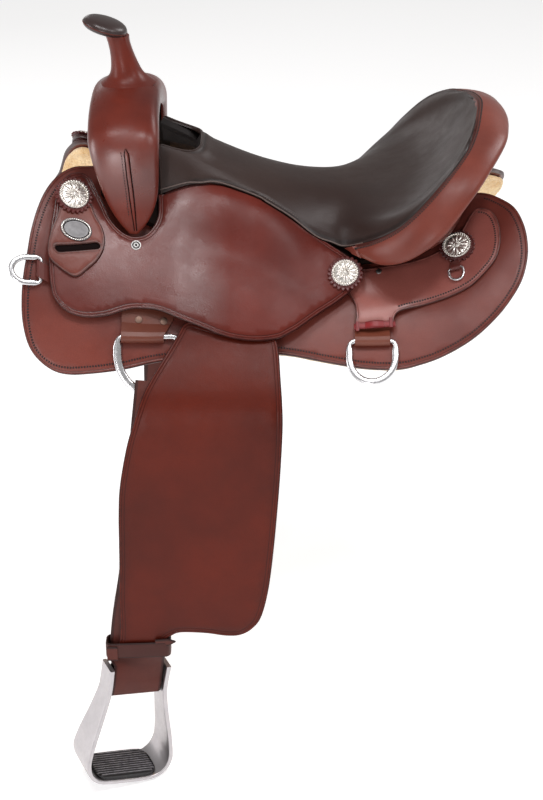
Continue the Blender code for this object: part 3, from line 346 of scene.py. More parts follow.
CHESTNUT = leather("leather_chestnut_fine", rgb(124, 56, 44), rgb(94, 41, 34), rgb(40, 17, 16), 0.36, spec=0.38)
JOCKEY_M = leather("leather_jockey_fine", rgb(110, 43, 34), rgb(86, 34, 28), rgb(36, 15, 13), 0.29, spec=0.34,
                   gloss=[(0, -0.105, -0.050, 0.42, 0.08)])
# rear jockey: a lighter, shinier copy of the chestnut leather, as painted light
REAR_JOCKEY_LIT_M = leather("leather_rear_jockey_painted_light", rgb(158, 88, 78), rgb(130, 70, 63), rgb(40, 18, 16), 0.34, spec=0.50)
ROLL_M = leather("leather_roll_fine", rgb(136, 66, 52), rgb(106, 49, 39), rgb(45, 20, 17), 0.36, spec=0.30)
SWELL_M = leather("leather_swell_fine", rgb(118, 47, 34), rgb(82, 33, 27), rgb(30, 13, 12), 0.29, spec=0.40, coat=0.0,
                  gloss=[(2, 0.150, 0.172, 1.0, 0.20), (2, 0.075, 0.128, 0.22, 1.0)])
FENDER_M = leather("leather_fender_fine", rgb(100, 32, 17), rgb(77, 25, 15), rgb(42, 16, 14), 0.36, spec=0.17, coat=0.0)
STRAP_M = leather("leather_strap_fine", rgb(98, 44, 34), rgb(74, 33, 27), rgb(28, 14, 13), 0.45, spec=0.25, coat=0.0)
KEEPER_M = leather("leather_keeper_fine", rgb(120, 54, 40), rgb(96, 42, 32), rgb(40, 17, 14), 0.38, spec=0.42)
CAP_M = leather("leather_cap_fine", rgb(58, 42, 40), rgb(42, 30, 29), rgb(22, 15, 14), 0.30, spec=0.5, coat=0.10)
SEAT_M = leather("leather_charcoal_fine", rgb(55, 39, 34), rgb(45, 31, 28), rgb(21, 15, 14), 0.39, grain=0.38,
                 coat=0.0, wave=0.12, burnish=0.45, spec=0.32)
RIG_M = leather("leather_rigging_fine", rgb(116, 58, 40), rgb(88, 42, 31), rgb(48, 22, 18), 0.42, burnish=0.0, spec=0.4)
TAB_M = leather("leather_tab_fine", rgb(104, 46, 38), rgb(84, 36, 31), rgb(40, 18, 16), 0.42, burnish=0.0)
BACK_M = leather("leather_cantle_back", rgb(118, 56, 44), rgb(96, 44, 36), rgb(40, 18, 16), 0.42, burnish=0.0)
ROSETTE_M = leather("leather_rosette", rgb(104, 38, 34), rgb(70, 26, 25), rgb(30, 12, 12), 0.36, burnish=0.0)
LACE_M = leather("leather_lace_red", rgb(140, 26, 30), rgb(104, 20, 24), rgb(60, 12, 14), 0.40, burnish=0.4)
# near-black lining used as painted shade: the sheet before the seat front, and the pad and strainer seen through the
# hand hole
SHADE_LINING_M = leather("lining_painted_shade", rgb(30, 23, 22), rgb(20, 15, 15), rgb(12, 9, 9), 0.55, burnish=0.0, spec=0.2)


def plain(name, colour, rough, metal=0.0, **more):
    t = Tree(name)
    return t.set(Base_Color=colour, Roughness=rough, Metallic=metal, **more)


def thread(name, colour):
    t = Tree(name)
    c = t.mix(t.span(t.noise(900.0, 2.0, 0.5), 0.3, 0.7, 0.0, 0.5), colour, (0.01, 0.006, 0.006, 1))
    return t.set(Base_Color=c, Roughness=0.6)


THREAD_DARK = thread("thread_dark", rgb(40, 14, 16))
THREAD_BLACK = thread("thread_black", rgb(26, 17, 17))
THREAD_GREY = thread("thread_grey", rgb(104, 88, 82))
# near-black material laid as painted shade in slots, grooves and beside seams
PAINTED_SHADE_M = plain("painted_shade_dark", rgb(20, 11, 11), 0.85, Specular_IOR_Level=0.08)


def metal(name, colour, rough, scratch=0.10, dent=0.0, tint=None):
    t = Tree(name)
    c = t.mix(t.span(t.noise(60.0, 3.0, 0.6), 0.3, 0.7, 0.0, 0.5), colour, tint or tuple(v * 0.82 for v in colour[:3]) + (1,))
    r = t.span(t.noise(240.0, 3.0, 0.7), 0.3, 0.7, rough - 0.04, rough + 0.08)
    n = t.bump(t.noise(900.0, 3.0, 0.7), scratch, 0.0002)
    if dent:
        n = t.bump(t.noise(60.0, 2.0, 0.5), dent, 0.0015, n)
    return t.set(Base_Color=c, Roughness=r, Metallic=1.0, Normal=n)


STEEL_M = metal("stainless_fine", rgb(226, 226, 228), 0.26, 0.05)
SILVER_M = metal("silver_fine", rgb(228, 223, 216), 0.33, 0.08)
BADGE_M = metal("nickel_badge", rgb(128, 127, 128), 0.50, 0.10)
RIVET_M = metal("nickel_rivet", rgb(206, 204, 202), 0.50, 0.03)
AGED_M = metal("rivet_aged", rgb(138, 112, 100), 0.52, 0.10)
DARK_SILVER = metal("silver_recess", rgb(120, 116, 110), 0.38, 0.2)
ALU_M = metal("cast_aluminium_fine", rgb(194, 190, 192), 0.36, 0.45, 0.35)
RUST_BOLT = metal("bolt_steel", rgb(150, 148, 146), 0.35)
# the tree is coloured near-black as painted shade where it shows through gaps
TREE_SHADE_M = plain("tree_dark_painted_shade", rgb(30, 20, 17), 0.75, Specular_IOR_Level=0.08)


def rubber():
    t = Tree("rubber_fine")
    # rib tops painted light grey: painted highlight on the ridges
    worn_sheen = t.math("MULTIPLY", t.attribute("wear_and_sheen"), t.span(t.noise(160.0, 2.0, 0.6), 0.3, 0.7, 0.35, 1.0))
    return t.set(Base_Color=t.mix(worn_sheen, rgb(26, 24, 26), rgb(168, 164, 168)), Roughness=0.5)

RUBBER_M = rubber()
_t = Tree("fleece_fine")
_c = _t.mix(_t.span(_t.noise(34.0, 4.0, 0.6), 0.3, 0.7), rgb(255, 230, 182), rgb(234, 192, 132))
_c = _t.mix(_t.span(_t.cells(260.0), 0.1, 0.7, 0.0, 0.35), _c, rgb(196, 150, 96))
_n = _t.bump(_t.noise(420.0, 4.0, 0.7), 0.9, 0.0016, _t.bump(_t.cells(230.0), 0.7, 0.0022))
FLEECE_M = _t.set(Base_Color=_c, Roughness=0.95, Normal=_n, Sheen_Weight=0.35, Sheen_Roughness=0.5)


# ------------------------------------------------------------ meshes
def make(name, verts, faces, mat, attrs=None, angle=40.0, flip=False):
    """One mesh object.  flip mirrors it to the off side."""
    verts = np.array(verts, float)
    faces = [tuple(int(i) for i in f) for f in faces]
    if flip:
        verts = verts * np.array([1, -1, 1.0])
        faces = [f[::-1] for f in faces]
    me = bpy.data.meshes.new(name)
    me.from_pydata(verts.tolist(), [], faces)
    for m in (mat if isinstance(mat, (list, tuple)) else [mat]):
        me.materials.append(m)
    for key in ("ed", "crease_and_shade", "wear_and_sheen"):
        given = (attrs or {}).get(key)
        a = me.attributes.new(key, "FLOAT", "POINT")
        vals = np.full(len(verts), 1.0 if key == "ed" else 0.0, np.float32) if given is None else np.asarray(given, np.float32)
        a.data.foreach_set("value", vals)
    ob = bpy.data.objects.new(name, me)
    bpy.context.scene.collection.objects.link(ob)
    me.shade_smooth()
    me.set_sharp_from_angle(angle=math.radians(angle))
    return ob


def outward(verts, faces):
    """Faces turned so that the closed mesh has a positive volume."""
    v = np.asarray(verts, float)
    total = 0.0
    for f in faces:
        a = v[f[0]]
        for i in range(1, len(f) - 1):
            total += float(np.dot(a, np.cross(v[f[i]], v[f[i + 1]])))
    return faces if total >= 0 else [tuple(reversed(f)) for f in faces]


def put(ob, body, replaces=()):
    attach(ob, body)
    if replaces:
        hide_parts(*replaces)
    return ob


def join(parts):
    """Several (verts, faces) as one."""
    vs, fs, o = [], [], 0
    for v, f in parts:
        vs.append(np.asarray(v, float).reshape(-1, 3))
        fs += [tuple(i + o for i in q) for q in f]
        o += len(vs[-1])
    return np.vstack(vs), fs


def rings(stack, closed=False, caps=True):
    m = len(stack[0])
    verts = np.vstack(stack)
    faces = []
    rows = len(stack)
    for i in range(rows if closed else rows - 1):
        a, b = i * m, ((i + 1) % rows) * m
        for j in range(m):
            k = (j + 1) % m
            faces.append((a + j, a + k, b + k, b + j))
    if not closed and caps:
        faces.append(tuple(range(m - 1, -1, -1)))
        faces.append(tuple((rows - 1) * m + j for j in range(m)))
    return verts, faces


def frames_along(path, ref=None):
    """Tangents of a line of points."""
    d = np.gradient(path, axis=0)
    return d / np.maximum(np.linalg.norm(d, axis=1), 1e-12)[:, None]


def tube(path, normals, a, b, sides=12, closed=False, power=1.0):
    """Tube along a path: a across the normals and b along them."""
    path, normals = np.asarray(path, float), np.asarray(normals, float)
    if closed:
        t = np.roll(path, -1, axis=0) - np.roll(path, 1, axis=0)
        t /= np.linalg.norm(t, axis=1)[:, None]
    else:
        t = frames_along(path)
    nn = normals - t * (normals * t).sum(1)[:, None]
    nn /= np.linalg.norm(nn, axis=1)[:, None]
    out = np.cross(t, nn)
    stack = []
    for i in range(len(path)):
        ai = a[i] if hasattr(a, "__len__") else a
        bi = b[i] if hasattr(b, "__len__") else b
        ring = []
        for k in range(sides):
            g = 2 * math.pi * k / sides
            c, s = math.cos(g), math.sin(g)
            c, s = math.copysign(abs(c) ** power, c), math.copysign(abs(s) ** power, s)
            ring.append(path[i] + out[i] * ai * c + nn[i] * bi * s)
        stack.append(np.array(ring))
    return rings(stack, closed)


def lathe(profile, centre, axis, seg=48, side=None, wobble=None):
    axis = np.asarray(axis, float) / np.linalg.norm(axis)
    if side is None:
        side = np.array([1.0, 0, 0]) if abs(axis[0]) < 0.9 else np.array([0, 1.0, 0])
    u = side - axis * np.dot(side, axis)
    u /= np.linalg.norm(u)
    w = np.cross(axis, u)
    verts, rows = [], []
    for r, h in profile:
        if r < 1e-7:
            rows.append([len(verts)])
            verts.append(centre + axis * h)
        else:
            idx = []
            for k in range(seg):
                a = 2 * math.pi * k / seg
                rr, hh = (wobble(a, r, h) if wobble else (r, h))
                idx.append(len(verts))
                verts.append(centre + axis * hh + u * (rr * math.cos(a)) + w * (rr * math.sin(a)))
            rows.append(idx)
    faces = []
    for a, b in zip(rows, rows[1:]):
        for k in range(seg):
            j = (k + 1) % seg
            if len(a) == 1:
                faces.append((a[0], b[j], b[k]))
            elif len(b) == 1:
                faces.append((a[k], a[j], b[0]))
            else:
                faces.append((a[k], a[j], b[j], b[k]))
    return np.array(verts), outward(verts, faces)


def stitches(path, normals, pitch=0.0030, length=0.0023, width=0.00055, sink=0.35, height=0.7, slant=0.0):
    """A row of sewn stitches along a line on a surface."""
    path, normals = np.asarray(path, float), np.asarray(normals, float)
    run = np.concatenate([[0], np.cumsum(np.linalg.norm(np.diff(path, axis=0), axis=1))])
    at = np.arange(pitch * 0.5, run[-1] - pitch * 0.4, pitch)
    c = np.stack([np.interp(at, run, path[:, k]) for k in range(3)], 1)
    ahead = np.stack([np.interp(at + pitch * 0.3, run, path[:, k]) for k in range(3)], 1)
    t = ahead - c
    t /= np.maximum(np.linalg.norm(t, axis=1), 1e-12)[:, None]
    n = np.stack([np.interp(at, run, normals[:, k]) for k in range(3)], 1)
    n -= t * (n * t).sum(1)[:, None]
    n /= np.linalg.norm(n, axis=1)[:, None]
    w = np.cross(n, t)
    if slant:
        t = t * math.cos(slant) + w * math.sin(slant)
        w = np.cross(n, t)
    verts, faces, o = [], [], 0
    for k, (q, r) in enumerate(((-0.5, 0.45), (-0.30, 1.0), (0.30, 1.0), (0.5, 0.45))):
        for g in range(6):
            a = 2 * math.pi * g / 6
            verts.append(c + t * (length * q) + w * (width * r * math.cos(a))
                         + n * (width * height * r * math.sin(a) - width * sink * (0.4 if k in (1, 2) else 1.6)))
    block = np.stack(verts, 1).reshape(-1, 3)      # per stitch 24 points
    for i in range(len(c)):
        o = i * 24
        for k in range(3):
            for g in range(6):
                h = (g + 1) % 6
                faces.append((o + k * 6 + g, o + k * 6 + h, o + k * 6 + 6 + h, o + k * 6 + 6 + g))
        faces.append(tuple(o + g for g in range(5, -1, -1)))
        faces.append(tuple(o + 18 + g for g in range(6)))
    return block, faces


def hold(value):
    return value if callable(value) else (lambda x, s: np.full(np.shape(x), float(value)))


def relief(ed, r, thick, grooves):
    """(drop of the top face, crease darkness partly as painted shade) at distance ed from the cut edge."""
    q = np.clip(1 - ed / r, 0, 1)
    drop = r * (1 - np.sqrt(np.maximum(0.0, 1 - q * q)))
    dark = np.zeros_like(ed)
    for g, deep, wide in grooves:
        e = np.exp(-((ed - g) / wide) ** 2)
        drop = drop + deep * e
        # the groove is darkened, partly as painted shade
        dark = np.maximum(dark, 0.85 * e)
    return drop, dark


def panel(shape, low, high, step=0.006, edge_step=0.003, r=0.0013, grooves=(), holes=(), place=base, wear_and_sheen=0.3,
          lumps=None):
    """Leather cut to a pattern, with rounded edges and creases.  Returns verts, faces, attributes."""
    step, edge_step = step * FINE, edge_step * FINE
    loops = [outline(shape, edge_step)] + [outline(h, edge_step * 0.5) for h in holes]
    offsets = [0.25 * r, 0.65 * r, 1.05 * r, 1.8 * r]
    for g, deep, wide in grooves:
        offsets += [g - 1.3 * wide, g, g + 1.3 * wide]
    offsets = sorted(offsets)
    pts = [np.vstack(loops)]
    for d in offsets:
        for k, lp in enumerate(loops):
            nrm = inward(lp) if k == 0 else -inward(lp)
            c = lp + nrm * d
            keep = (edge_distance(loops, c) > 0.96 * d) & inside(loops[0], c)
            for h in loops[1:]:
                keep &= ~inside(h, c)
            c = c[keep]
            pts.append(c)
    a0, a1 = loops[0].min(0), loops[0].max(0)
    ys = np.arange(a0[1] + step * 0.5, a1[1], step * 0.866)
    grid = np.vstack([np.stack([np.arange(a0[0] + (step * 0.5 if k % 2 else 0), a1[0], step),
                                np.full(len(np.arange(a0[0] + (step * 0.5 if k % 2 else 0), a1[0], step)), y)], 1)
                      for k, y in enumerate(ys)])
    keep = inside(loops[0], grid) & (edge_distance(loops, grid) > offsets[-1] + step * 0.45)
    for h in loops[1:]:
        keep &= ~inside(h, grid)
    pts.append(grid[keep])
    allp = np.vstack(pts)
    edges, o = [], 0
    for lp in loops:
        edges += [(o + i, o + (i + 1) % len(lp)) for i in range(len(lp))]
        o += len(lp)
    out = delaunay_2d_cdt([Vector((float(p[0]), float(p[1]))) for p in allp], edges, [], 0, 1e-7)
    p2 = np.array([(q.x, q.y) for q in out[0]])
    tris = np.array([f for f in out[2] if len(f) == 3], int)
    mid = p2[tris].mean(1)
    ok = inside(loops[0], mid)
    for h in loops[1:]:
        ok &= ~inside(h, mid)
    tris = tris[ok]
    used = np.unique(tris)
    new = -np.ones(len(p2), int)
    new[used] = np.arange(len(used))
    p2, tris = p2[used], new[tris]
    ed = edge_distance(loops, p2)
    ed[ed < 1e-6] = 0.0
    x, s = p2[:, 0], p2[:, 1]
    low, high = hold(low), hold(high)
    thick = high(x, s) - low(x, s)
    drop, dark = relief(ed, r, thick, grooves)
    rb = np.minimum(r * 0.6, thick * 0.3)
    q = np.clip(1 - ed / np.maximum(rb, 1e-6), 0, 1)
    rise = rb * (1 - np.sqrt(np.maximum(0.0, 1 - q * q)))
    n_top, n_bot = high(x, s) - drop, low(x, s) + rise
    if lumps is not None:
        n_top, n_bot = n_top + lumps(x, s, ed, 1), n_bot + lumps(x, s, ed, -1)
    top, bot = place(x, s, n_top), place(x, s, n_bot)
    m = len(p2)
    faces = [tuple(f) for f in tris] + [(m + f[2], m + f[1], m + f[0]) for f in tris]
    half = {(f[i], f[(i + 1) % 3]) for f in map(tuple, tris) for i in range(3)}
    for a, b in half:
        if (b, a) not in half:
            faces.append((b, a, m + a, m + b))
    faces = outward(np.vstack([top, bot]), faces)
    # lighter band 2.2 mm in from the cut edge: wear and a painted highlight
    worn_sheen = wear_and_sheen * np.exp(-((ed - 0.0022) / 0.0012) ** 2)
    attrs = {"ed": np.concatenate([ed, ed]), "crease_and_shade": np.concatenate([dark, dark * 0]),
             "wear_and_sheen": np.concatenate([worn_sheen, worn_sheen * 0])}
    return np.vstack([top, bot]), faces, attrs


def both(name, built, mat, body_kind, replaces=None, angle=40.0, sides=("near", "off")):
    """The same piece on both sides."""
    out = []
    for side in sides:
        v, f = built[0], built[1]
        ob = make(name + "_" + side, v, f, mat, built[2] if len(built) > 2 else None, angle, side == "off")
        body = body_kind if body_kind == "saddle" else body_kind + "_" + side
        put(ob, body, [replaces + "_" + side] if replaces else [])
        out.append(ob)
    return out


def line_on(points, top, off=0.0, step=0.0012, closed=False, place=base):
    """A line in pattern mm laid on a face: (points, normals)."""
    if closed:
        p = np.array([spline(points, k / 12.0, True) for k in range(12 * len(points))]) / 1000.0
    else:
        p = np.array([spline(points, (len(points) - 1) * k / (12.0 * len(points))) for k in range(12 * len(points) + 1)]) / 1000.0
    p = resample(p, step, closed)
    return lift(p, top, off, place)


def lift(p, top, off=0.0, place=base):
    top = hold(top)
    x, s = p[:, 0], p[:, 1]
    h = 4e-4
    c = place(x, s, top(x, s) + off)
    du = place(x + h, s, top(x + h, s) + off) - place(x - h, s, top(x - h, s) + off)
    dv = place(x, s + h, top(x, s + h) + off) - place(x, s - h, top(x, s - h) + off)
    n = np.cross(dv, du)
    n /= np.linalg.norm(n, axis=1)[:, None]
    sign = np.sign((n * (place(x, s, top(x, s) + 0.002) - place(x, s, top(x, s)))).sum(1))
    return c, n * sign[:, None]


def inset(shape, d, lo_run=0.0, hi_run=1.0, step=0.0012):
    """Line d metres inside an outline, from share lo_run to hi_run of its length."""
    lp = outline(shape, 0.002)
    n = len(lp)
    q = lp + inward(lp) * d
    keep = (edge_distance([lp], q) > 0.97 * d) & inside(lp, q)
    i0, i1 = int(lo_run * n), int(hi_run * n)
    idx = [i % n for i in range(i0, i1)]
    runs, cur = [], []
    for i in idx:
        if keep[i]:
            cur.append(q[i])
        elif len(cur) > 6:
            runs.append(np.array(cur))
            cur = []
        else:
            cur = []
    if len(cur) > 6:
        runs.append(np.array(cur))
    return [resample(r, step, False) for r in runs]


def share_of(shape, x, s):
    """Share of the outline's length at the point nearest (x, s) in mm."""
    lp = outline(shape, 0.002)
    return float(np.argmin(np.hypot(lp[:, 0] - x / 1000.0, lp[:, 1] - s / 1000.0))) / len(lp)


# ------------------------------------------------------------ patterns (mm)
SEAT_ROWS = [
    (-138, 150, -137, 70, 79, 8.0),
    (-106, 138, -106, 66, 89.5, 6.0),
    (-88, 130, -88, 64, 91, 4.2),
    (-64, 116, -64, 62, 91.6, 3.0),
    (-20, 98, -20, 66, 77, 2.5),
    (-4, 93, -4, 72, 69.5, 2.5),
    (25, 84, 25, 82, 54, 2.6),
    (54, 80, 54, 92, 33, 3.0),
    (74, 79, 74, 98, 27, 3.0),
    (96, 80, 92, 107, 25, 3.0),
    (122, 82, 124, 148, 50, 3.0),
    (148, 86, 152, 166, 73, 3.0),
    (176, 93, 177, 170, 100, 2.6),
    (204, 108, 204, 158, 129, 2.4),
    (228, 134, 229, 125, 150, 2.2),
    (244, 156, 243, 85, 161, 2.2),
    (252, 169, 251, 45, 172, 2.2),
    (256, 177, 256, 0, 177, 2.2),
]
ROLL_EDGE = [(102, 118, 21), (131, 163, 25), (162, 188, 41), (200, 194, 72), (235, 175, 112),
             (258, 145, 134), (283, 90, 152), (292, 42, 155), (295, 0, 155)]
SKIRT_PATTERN = [(-230, 41), (-246, 52), (-262, 72), (-275, 98), (-284, 126), (-291, 158), (-295, 187), (-299, 215),
                 (-301, 244), (-300, 270), (-294, 293), (-283, 305), (-265, 310), (-245, 306), (-217, 293),
                 (-181, 275), (-135, 251), (-80, 232), (-25, 219), (22, 218), (71, 227), (115, 237), (155, 243),
                 (180, 242), (208, 238), (241, 228), (265, 215), (285, 199), (302, 178), (310, 155), (312, 132),
                 (309, 105), (300, 77), (284, 55), (265, 38), (240, 30), (200, 28), (120, 28), (20, 28), (-80, 28),
                 (-170, 29), (-210, 32)]
JOCKEY_TOP = [(-0.270, 0.0295), (-0.225, 0.0295), (-0.190, 0.0320), (-0.150, 0.0370), (-0.120, 0.0430),
              (0.000, 0.0435), (0.030, 0.0410), (0.060, 0.0355), (0.098, 0.0310)]
_edge = [unbase(*(c / 1000.0 for c in (r[2], r[3], r[4]))) for r in SEAT_ROWS[:10]]
EDGE_S = [(r[2] / 1000.0, e[0]) for r, e in zip(SEAT_ROWS[:10], _edge)]
EDGE_N = [(r[2] / 1000.0, e[1]) for r, e in zip(SEAT_ROWS[:10], _edge)]


def soft_table(rows, x, w=0.012):
    """The table, with its corners rounded off."""
    return sum(table(rows, x + d * w) for d in (-1.0, -0.5, 0.0, 0.5, 1.0)) / 5.0


def jockey_top(x, s):
    b = soft_table(JOCKEY_TOP, x)
    rise = np.maximum(0.0, soft_table(EDGE_N, x) - b)
    fade = smoothstep(1 - (s - table(EDGE_S, x)) / 0.085)
    tuck = 0.0036 * smoothstep((soft_table(EDGE_S, x) + 0.0022 - s) / 0.0026) * smoothstep((x + 0.145) / 0.006)
    return b + rise * fade * smoothstep((x + 0.215) / 0.07) - tuck


def jockey_bottom(x, s):
    return jockey_top(x, s) - JOCKEY_T


JOCKEY_PATTERN = (
    [(-268, 160), (-268, 182), (-267, 201), (-264, 219), (-257, 229), (-244, 234), (-224, 231), (-199, 220),
     (-177, 206), (-161, 199), (-138, 195), (-115, 198), (-84, 203), (-61, 208), (-38, 210), (-15, 209),
     (9, 204), (24, 196), (35, 189), (59, 171), (84, 155), (99, 143), (104, 128), (101, 114), (93, 104)]
    + [(r[2] + (1.5 if k == 9 else 0.0), round(e[0] * 1000 - 4.0, 1)) for k, (r, e) in
       reversed(list(enumerate(zip(SEAT_ROWS[:10], _edge)))) if k not in (9, 8)]
    + [(-139, 62), (-139, 80), (-144, 95), (-152, 107), (-163, 114), (-173, 116), (-185, 113), (-197, 103),
       (-206, 87), (-216, 71), (-224, 60), (-236, 60), (-250, 72), (-260, 95), (-264, 125)])
REAR_JOCKEY_PATTERN = [(254, 62), (267, 68), (275, 80), (279, 95), (280, 111), (278, 126), (272, 140), (258, 153),
                       (242, 163), (217, 169), (186, 172), (163, 174), (153, 177), (149, 183), (147, 191), (125, 189),
                       (103, 186), (103, 175), (102, 160), (97, 148), (88, 132), (84, 118), (100, 113), (140, 113),
                       (180, 112), (212, 104), (233, 88), (245, 70)]


def rear_jockey_low(x, s):
    return 0.0193 + 0.0056 * smoothstep((s - 0.140) / 0.035) * smoothstep((0.190 - x) / 0.04)


def rear_jockey_top(x, s):
    return rear_jockey_low(x, s) + 0.0042


# ------------------------------------------------------------ skirts
def shrink(mm, d):
    a = np.array(mm, float)
    t = np.roll(a, -1, axis=0) - np.roll(a, 1, axis=0)
    t /= np.linalg.norm(t, axis=1)[:, None]
    nrm = np.stack([-t[:, 1], t[:, 0]], 1)
    return [tuple(r) for r in a + nrm * (d if area2(a) > 0 else -d)]


def draw_back(x, s):
    """The off skirt sits a little further in than the near one at its two top corners."""
    front = max(0.0, 1 - abs(s - 130) / 110.0) if x < -200 else 0.0
    rear = max(0.0, 1 - max(0.0, s - 70) / 75.0) if x > 225 else 0.0
    return (x + 11.0 * float(smoothstep(front * 1.4)) - 12.0 * float(smoothstep(rear * 1.2)), s)


SKIRTS = {"near": SKIRT_PATTERN, "off": [draw_back(x, s) for x, s in SKIRT_PATTERN]}
for side, shape in SKIRTS.items():
    built = panel(shape, SKIRT[0], SKIRT[1], 0.0085, 0.0040, r=0.0018, grooves=((0.0034, 0.0005, 0.0005),))
    both("skirt_leather", built, CHESTNUT, "saddle", "skirt", sides=(side,))
    parts = []
    a, b = share_of(shape, -246, 52), share_of(shape, 265, 38)
    for run in inset(shape, 0.0078, a, b):
        parts.append(stitches(*lift(run, SKIRT[1]), pitch=0.0034, length=0.0024, width=0.00135, height=0.8, slant=0.30))
    both("skirt_stitching", join(parts), THREAD_DARK, "saddle", sides=(side,))


def fleece_lumps(x, s, ed, face):
    w = (np.sin(x * 410 + 2.1 * np.sin(s * 290)) * np.sin(s * 370 + 1.7 * np.sin(x * 330))
         + 0.6 * np.sin(x * 830 + s * 500) * np.sin(s * 910 - x * 300))
    return (0.0005 if face > 0 else 0.0014) * w * (1 if face > 0 else -1) - (0.0006 if face > 0 else -0.0016)


for side, shape in SKIRTS.items():
    built = panel(shrink(shape, 1.5), FLEECE[0], FLEECE[1], 0.0075, 0.0050, r=0.0050, lumps=fleece_lumps, wear_and_sheen=0)
    for ob in both("fleece_lining", built, FLEECE_M, "saddle", "fleece", angle=80, sides=(side,)):
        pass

# ------------------------------------------------------------ jockeys
built = panel(JOCKEY_PATTERN, jockey_bottom, jockey_top, 0.0065, 0.0028, r=0.0014,
              grooves=((0.0030, 0.0005, 0.0006), (0.0056, 0.0004, 0.0005)))
both("seat_jockey_leather", built, JOCKEY_M, "saddle", "seat_jockey")
built = panel(REAR_JOCKEY_PATTERN, rear_jockey_low, rear_jockey_top, 0.0065, 0.0028, r=0.0013,
              grooves=((0.0030, 0.0003, 0.0005),))
both("rear_jockey_leather", built, REAR_JOCKEY_LIT_M, "saddle", "rear_jockey")
parts = []
a, b = share_of(REAR_JOCKEY_PATTERN, 256, 63), share_of(REAR_JOCKEY_PATTERN, 153, 177)
for run in inset(REAR_JOCKEY_PATTERN, 0.0062, a, b):
    parts.append(stitches(*lift(run, rear_jockey_top), pitch=0.0033, width=0.0012, height=0.8, slant=0.30))
both("rear_jockey_stitching", join(parts), THREAD_BLACK, "saddle")

# ------------------------------------------------------------ seat
def seat_point(i, v):
    xa, za, xb, yb, zb, p = spline(SEAT_ROWS, i)
    a = np.abs(v)
    rim = 5.0 * smoothstep((i - 8.5) / 2.0) * np.exp(-((a - 0.90) / 0.10) ** 2) * (1 - smoothstep((i - 15) / 2))
    return np.stack([xa + (xb - xa) * a * a, v * max(yb, 0.0), za + (zb - za) * a ** p + rim], -1) / 1000.0


HAND_HOLE = 0.78


def seat_grid():
    """Rows of the seat from the front to the cantle, with the hand hole's edge as the first row."""
    vs = [-1, -0.997, -0.989, -0.972, -0.95, -0.925, -0.90, -0.875, -0.85, -0.825, -0.805, -0.79, -0.783, -0.78, -0.777,
          -0.77, -0.755, -0.73, -0.69, -0.64, -0.57, -0.48, -0.36, -0.20]
    vs = np.array(vs + [0.0] + [-q for q in reversed(vs)])
    rows_a = [0, 0.01, 0.03, 0.07, 0.13, 0.21, 0.31, 0.42, 0.54, 0.67, 0.83, 1.0]
    rows_b = list(np.arange(3.3, 16.01, 0.22)) + [16.2, 16.4, 16.6, 16.75, 16.88, 16.96, 16.99]
    start = np.where(np.abs(vs) < HAND_HOLE,
                     2.02 * np.maximum(0.0, 1 - (np.abs(vs) / HAND_HOLE) ** 5.0) ** (1 / 2.2), 0.0)
    grid = []
    for r in rows_a:
        grid.append([seat_point(st + r * (3.1 - st), v) for st, v in zip(start, vs)])
    for i in rows_b:
        grid.append(list(seat_point(i, vs)))
    return np.array(grid), vs, start, rows_a, rows_b


grid, vs, start, rows_a, rows_b = seat_grid()
R, C = grid.shape[:2]
hold_edge = smoothstep((1 - np.abs(vs)) / 0.16)[None, :, None]
for _ in range(16):                                # even out the rows behind the hand hole
    mid_g = grid.copy()
    mid_g[len(rows_a) - 2:-4] += (0.5 * ((grid[len(rows_a) - 3:-5] + grid[len(rows_a) - 1:-3]) / 2
                                          - grid[len(rows_a) - 2:-4]) * hold_edge)
    grid = mid_g
du = np.gradient(grid, axis=0)
dv = np.gradient(grid, axis=1)
nrm = np.cross(du, dv)
nrm /= np.maximum(np.linalg.norm(nrm, axis=2), 1e-12)[..., None]
nrm[nrm[..., 2] < 0] *= -1
side_d = np.minimum(np.cumsum(np.linalg.norm(np.diff(grid, axis=1, prepend=grid[:, :1]), axis=2), axis=1),
                    np.cumsum(np.linalg.norm(np.diff(grid[:, ::-1], axis=1, prepend=grid[:, -1:]), axis=2), axis=1)[:, ::-1])
front_d = np.cumsum(np.linalg.norm(np.diff(grid, axis=0, prepend=grid[:1]), axis=2), axis=0)
back_d = np.cumsum(np.linalg.norm(np.diff(grid[::-1], axis=0, prepend=grid[-1:]), axis=2), axis=0)[::-1]
ed = np.minimum(side_d, front_d)
ed = np.minimum(ed, back_d + 0.0004)
q = np.clip(1 - ed / 0.0022, 0, 1)
drop = 0.0018 * (1 - np.sqrt(np.maximum(0, 1 - q * q)))
seam = np.exp(-((ed - 0.0052) / 0.0016) ** 2)
drop = drop + 0.0011 * seam                        # pulled in along the sewing
top = grid - nrm * drop[..., None]
bot = grid - nrm * (0.0026 + 0.0016 * np.exp(-ed / 0.004))[..., None]
verts = np.vstack([top.reshape(-1, 3), bot.reshape(-1, 3)])
faces = []
M = R * C
for i in range(R - 1):
    for j in range(C - 1):
        q4 = (i * C + j, (i + 1) * C + j, (i + 1) * C + j + 1, i * C + j + 1)
        faces.append(q4)
        faces.append(tuple(M + t for t in reversed(q4)))
rim = ([(0, j) for j in range(C)] + [(i, C - 1) for i in range(1, R)] + [(R - 1, j) for j in range(C - 2, -1, -1)]
       + [(i, 0) for i in range(R - 2, 0, -1)])
rim = [i * C + j for i, j in rim]
for k in range(len(rim)):
    a, b = rim[k], rim[(k + 1) % len(rim)]
    faces.append((a, b, M + b, M + a))
faces = outward(verts, faces)
ed2 = np.concatenate([ed.ravel(), ed.ravel()])
# darker along the sewn seam's dip: painted shade
cr = np.concatenate([(seam * 0.75).ravel(), np.zeros(M)])
ob = make("seat_cover_leather", verts, faces, SEAT_M, {"ed": ed2, "crease_and_shade": cr}, 50)
put(ob, "saddle", ["seat_leather"])

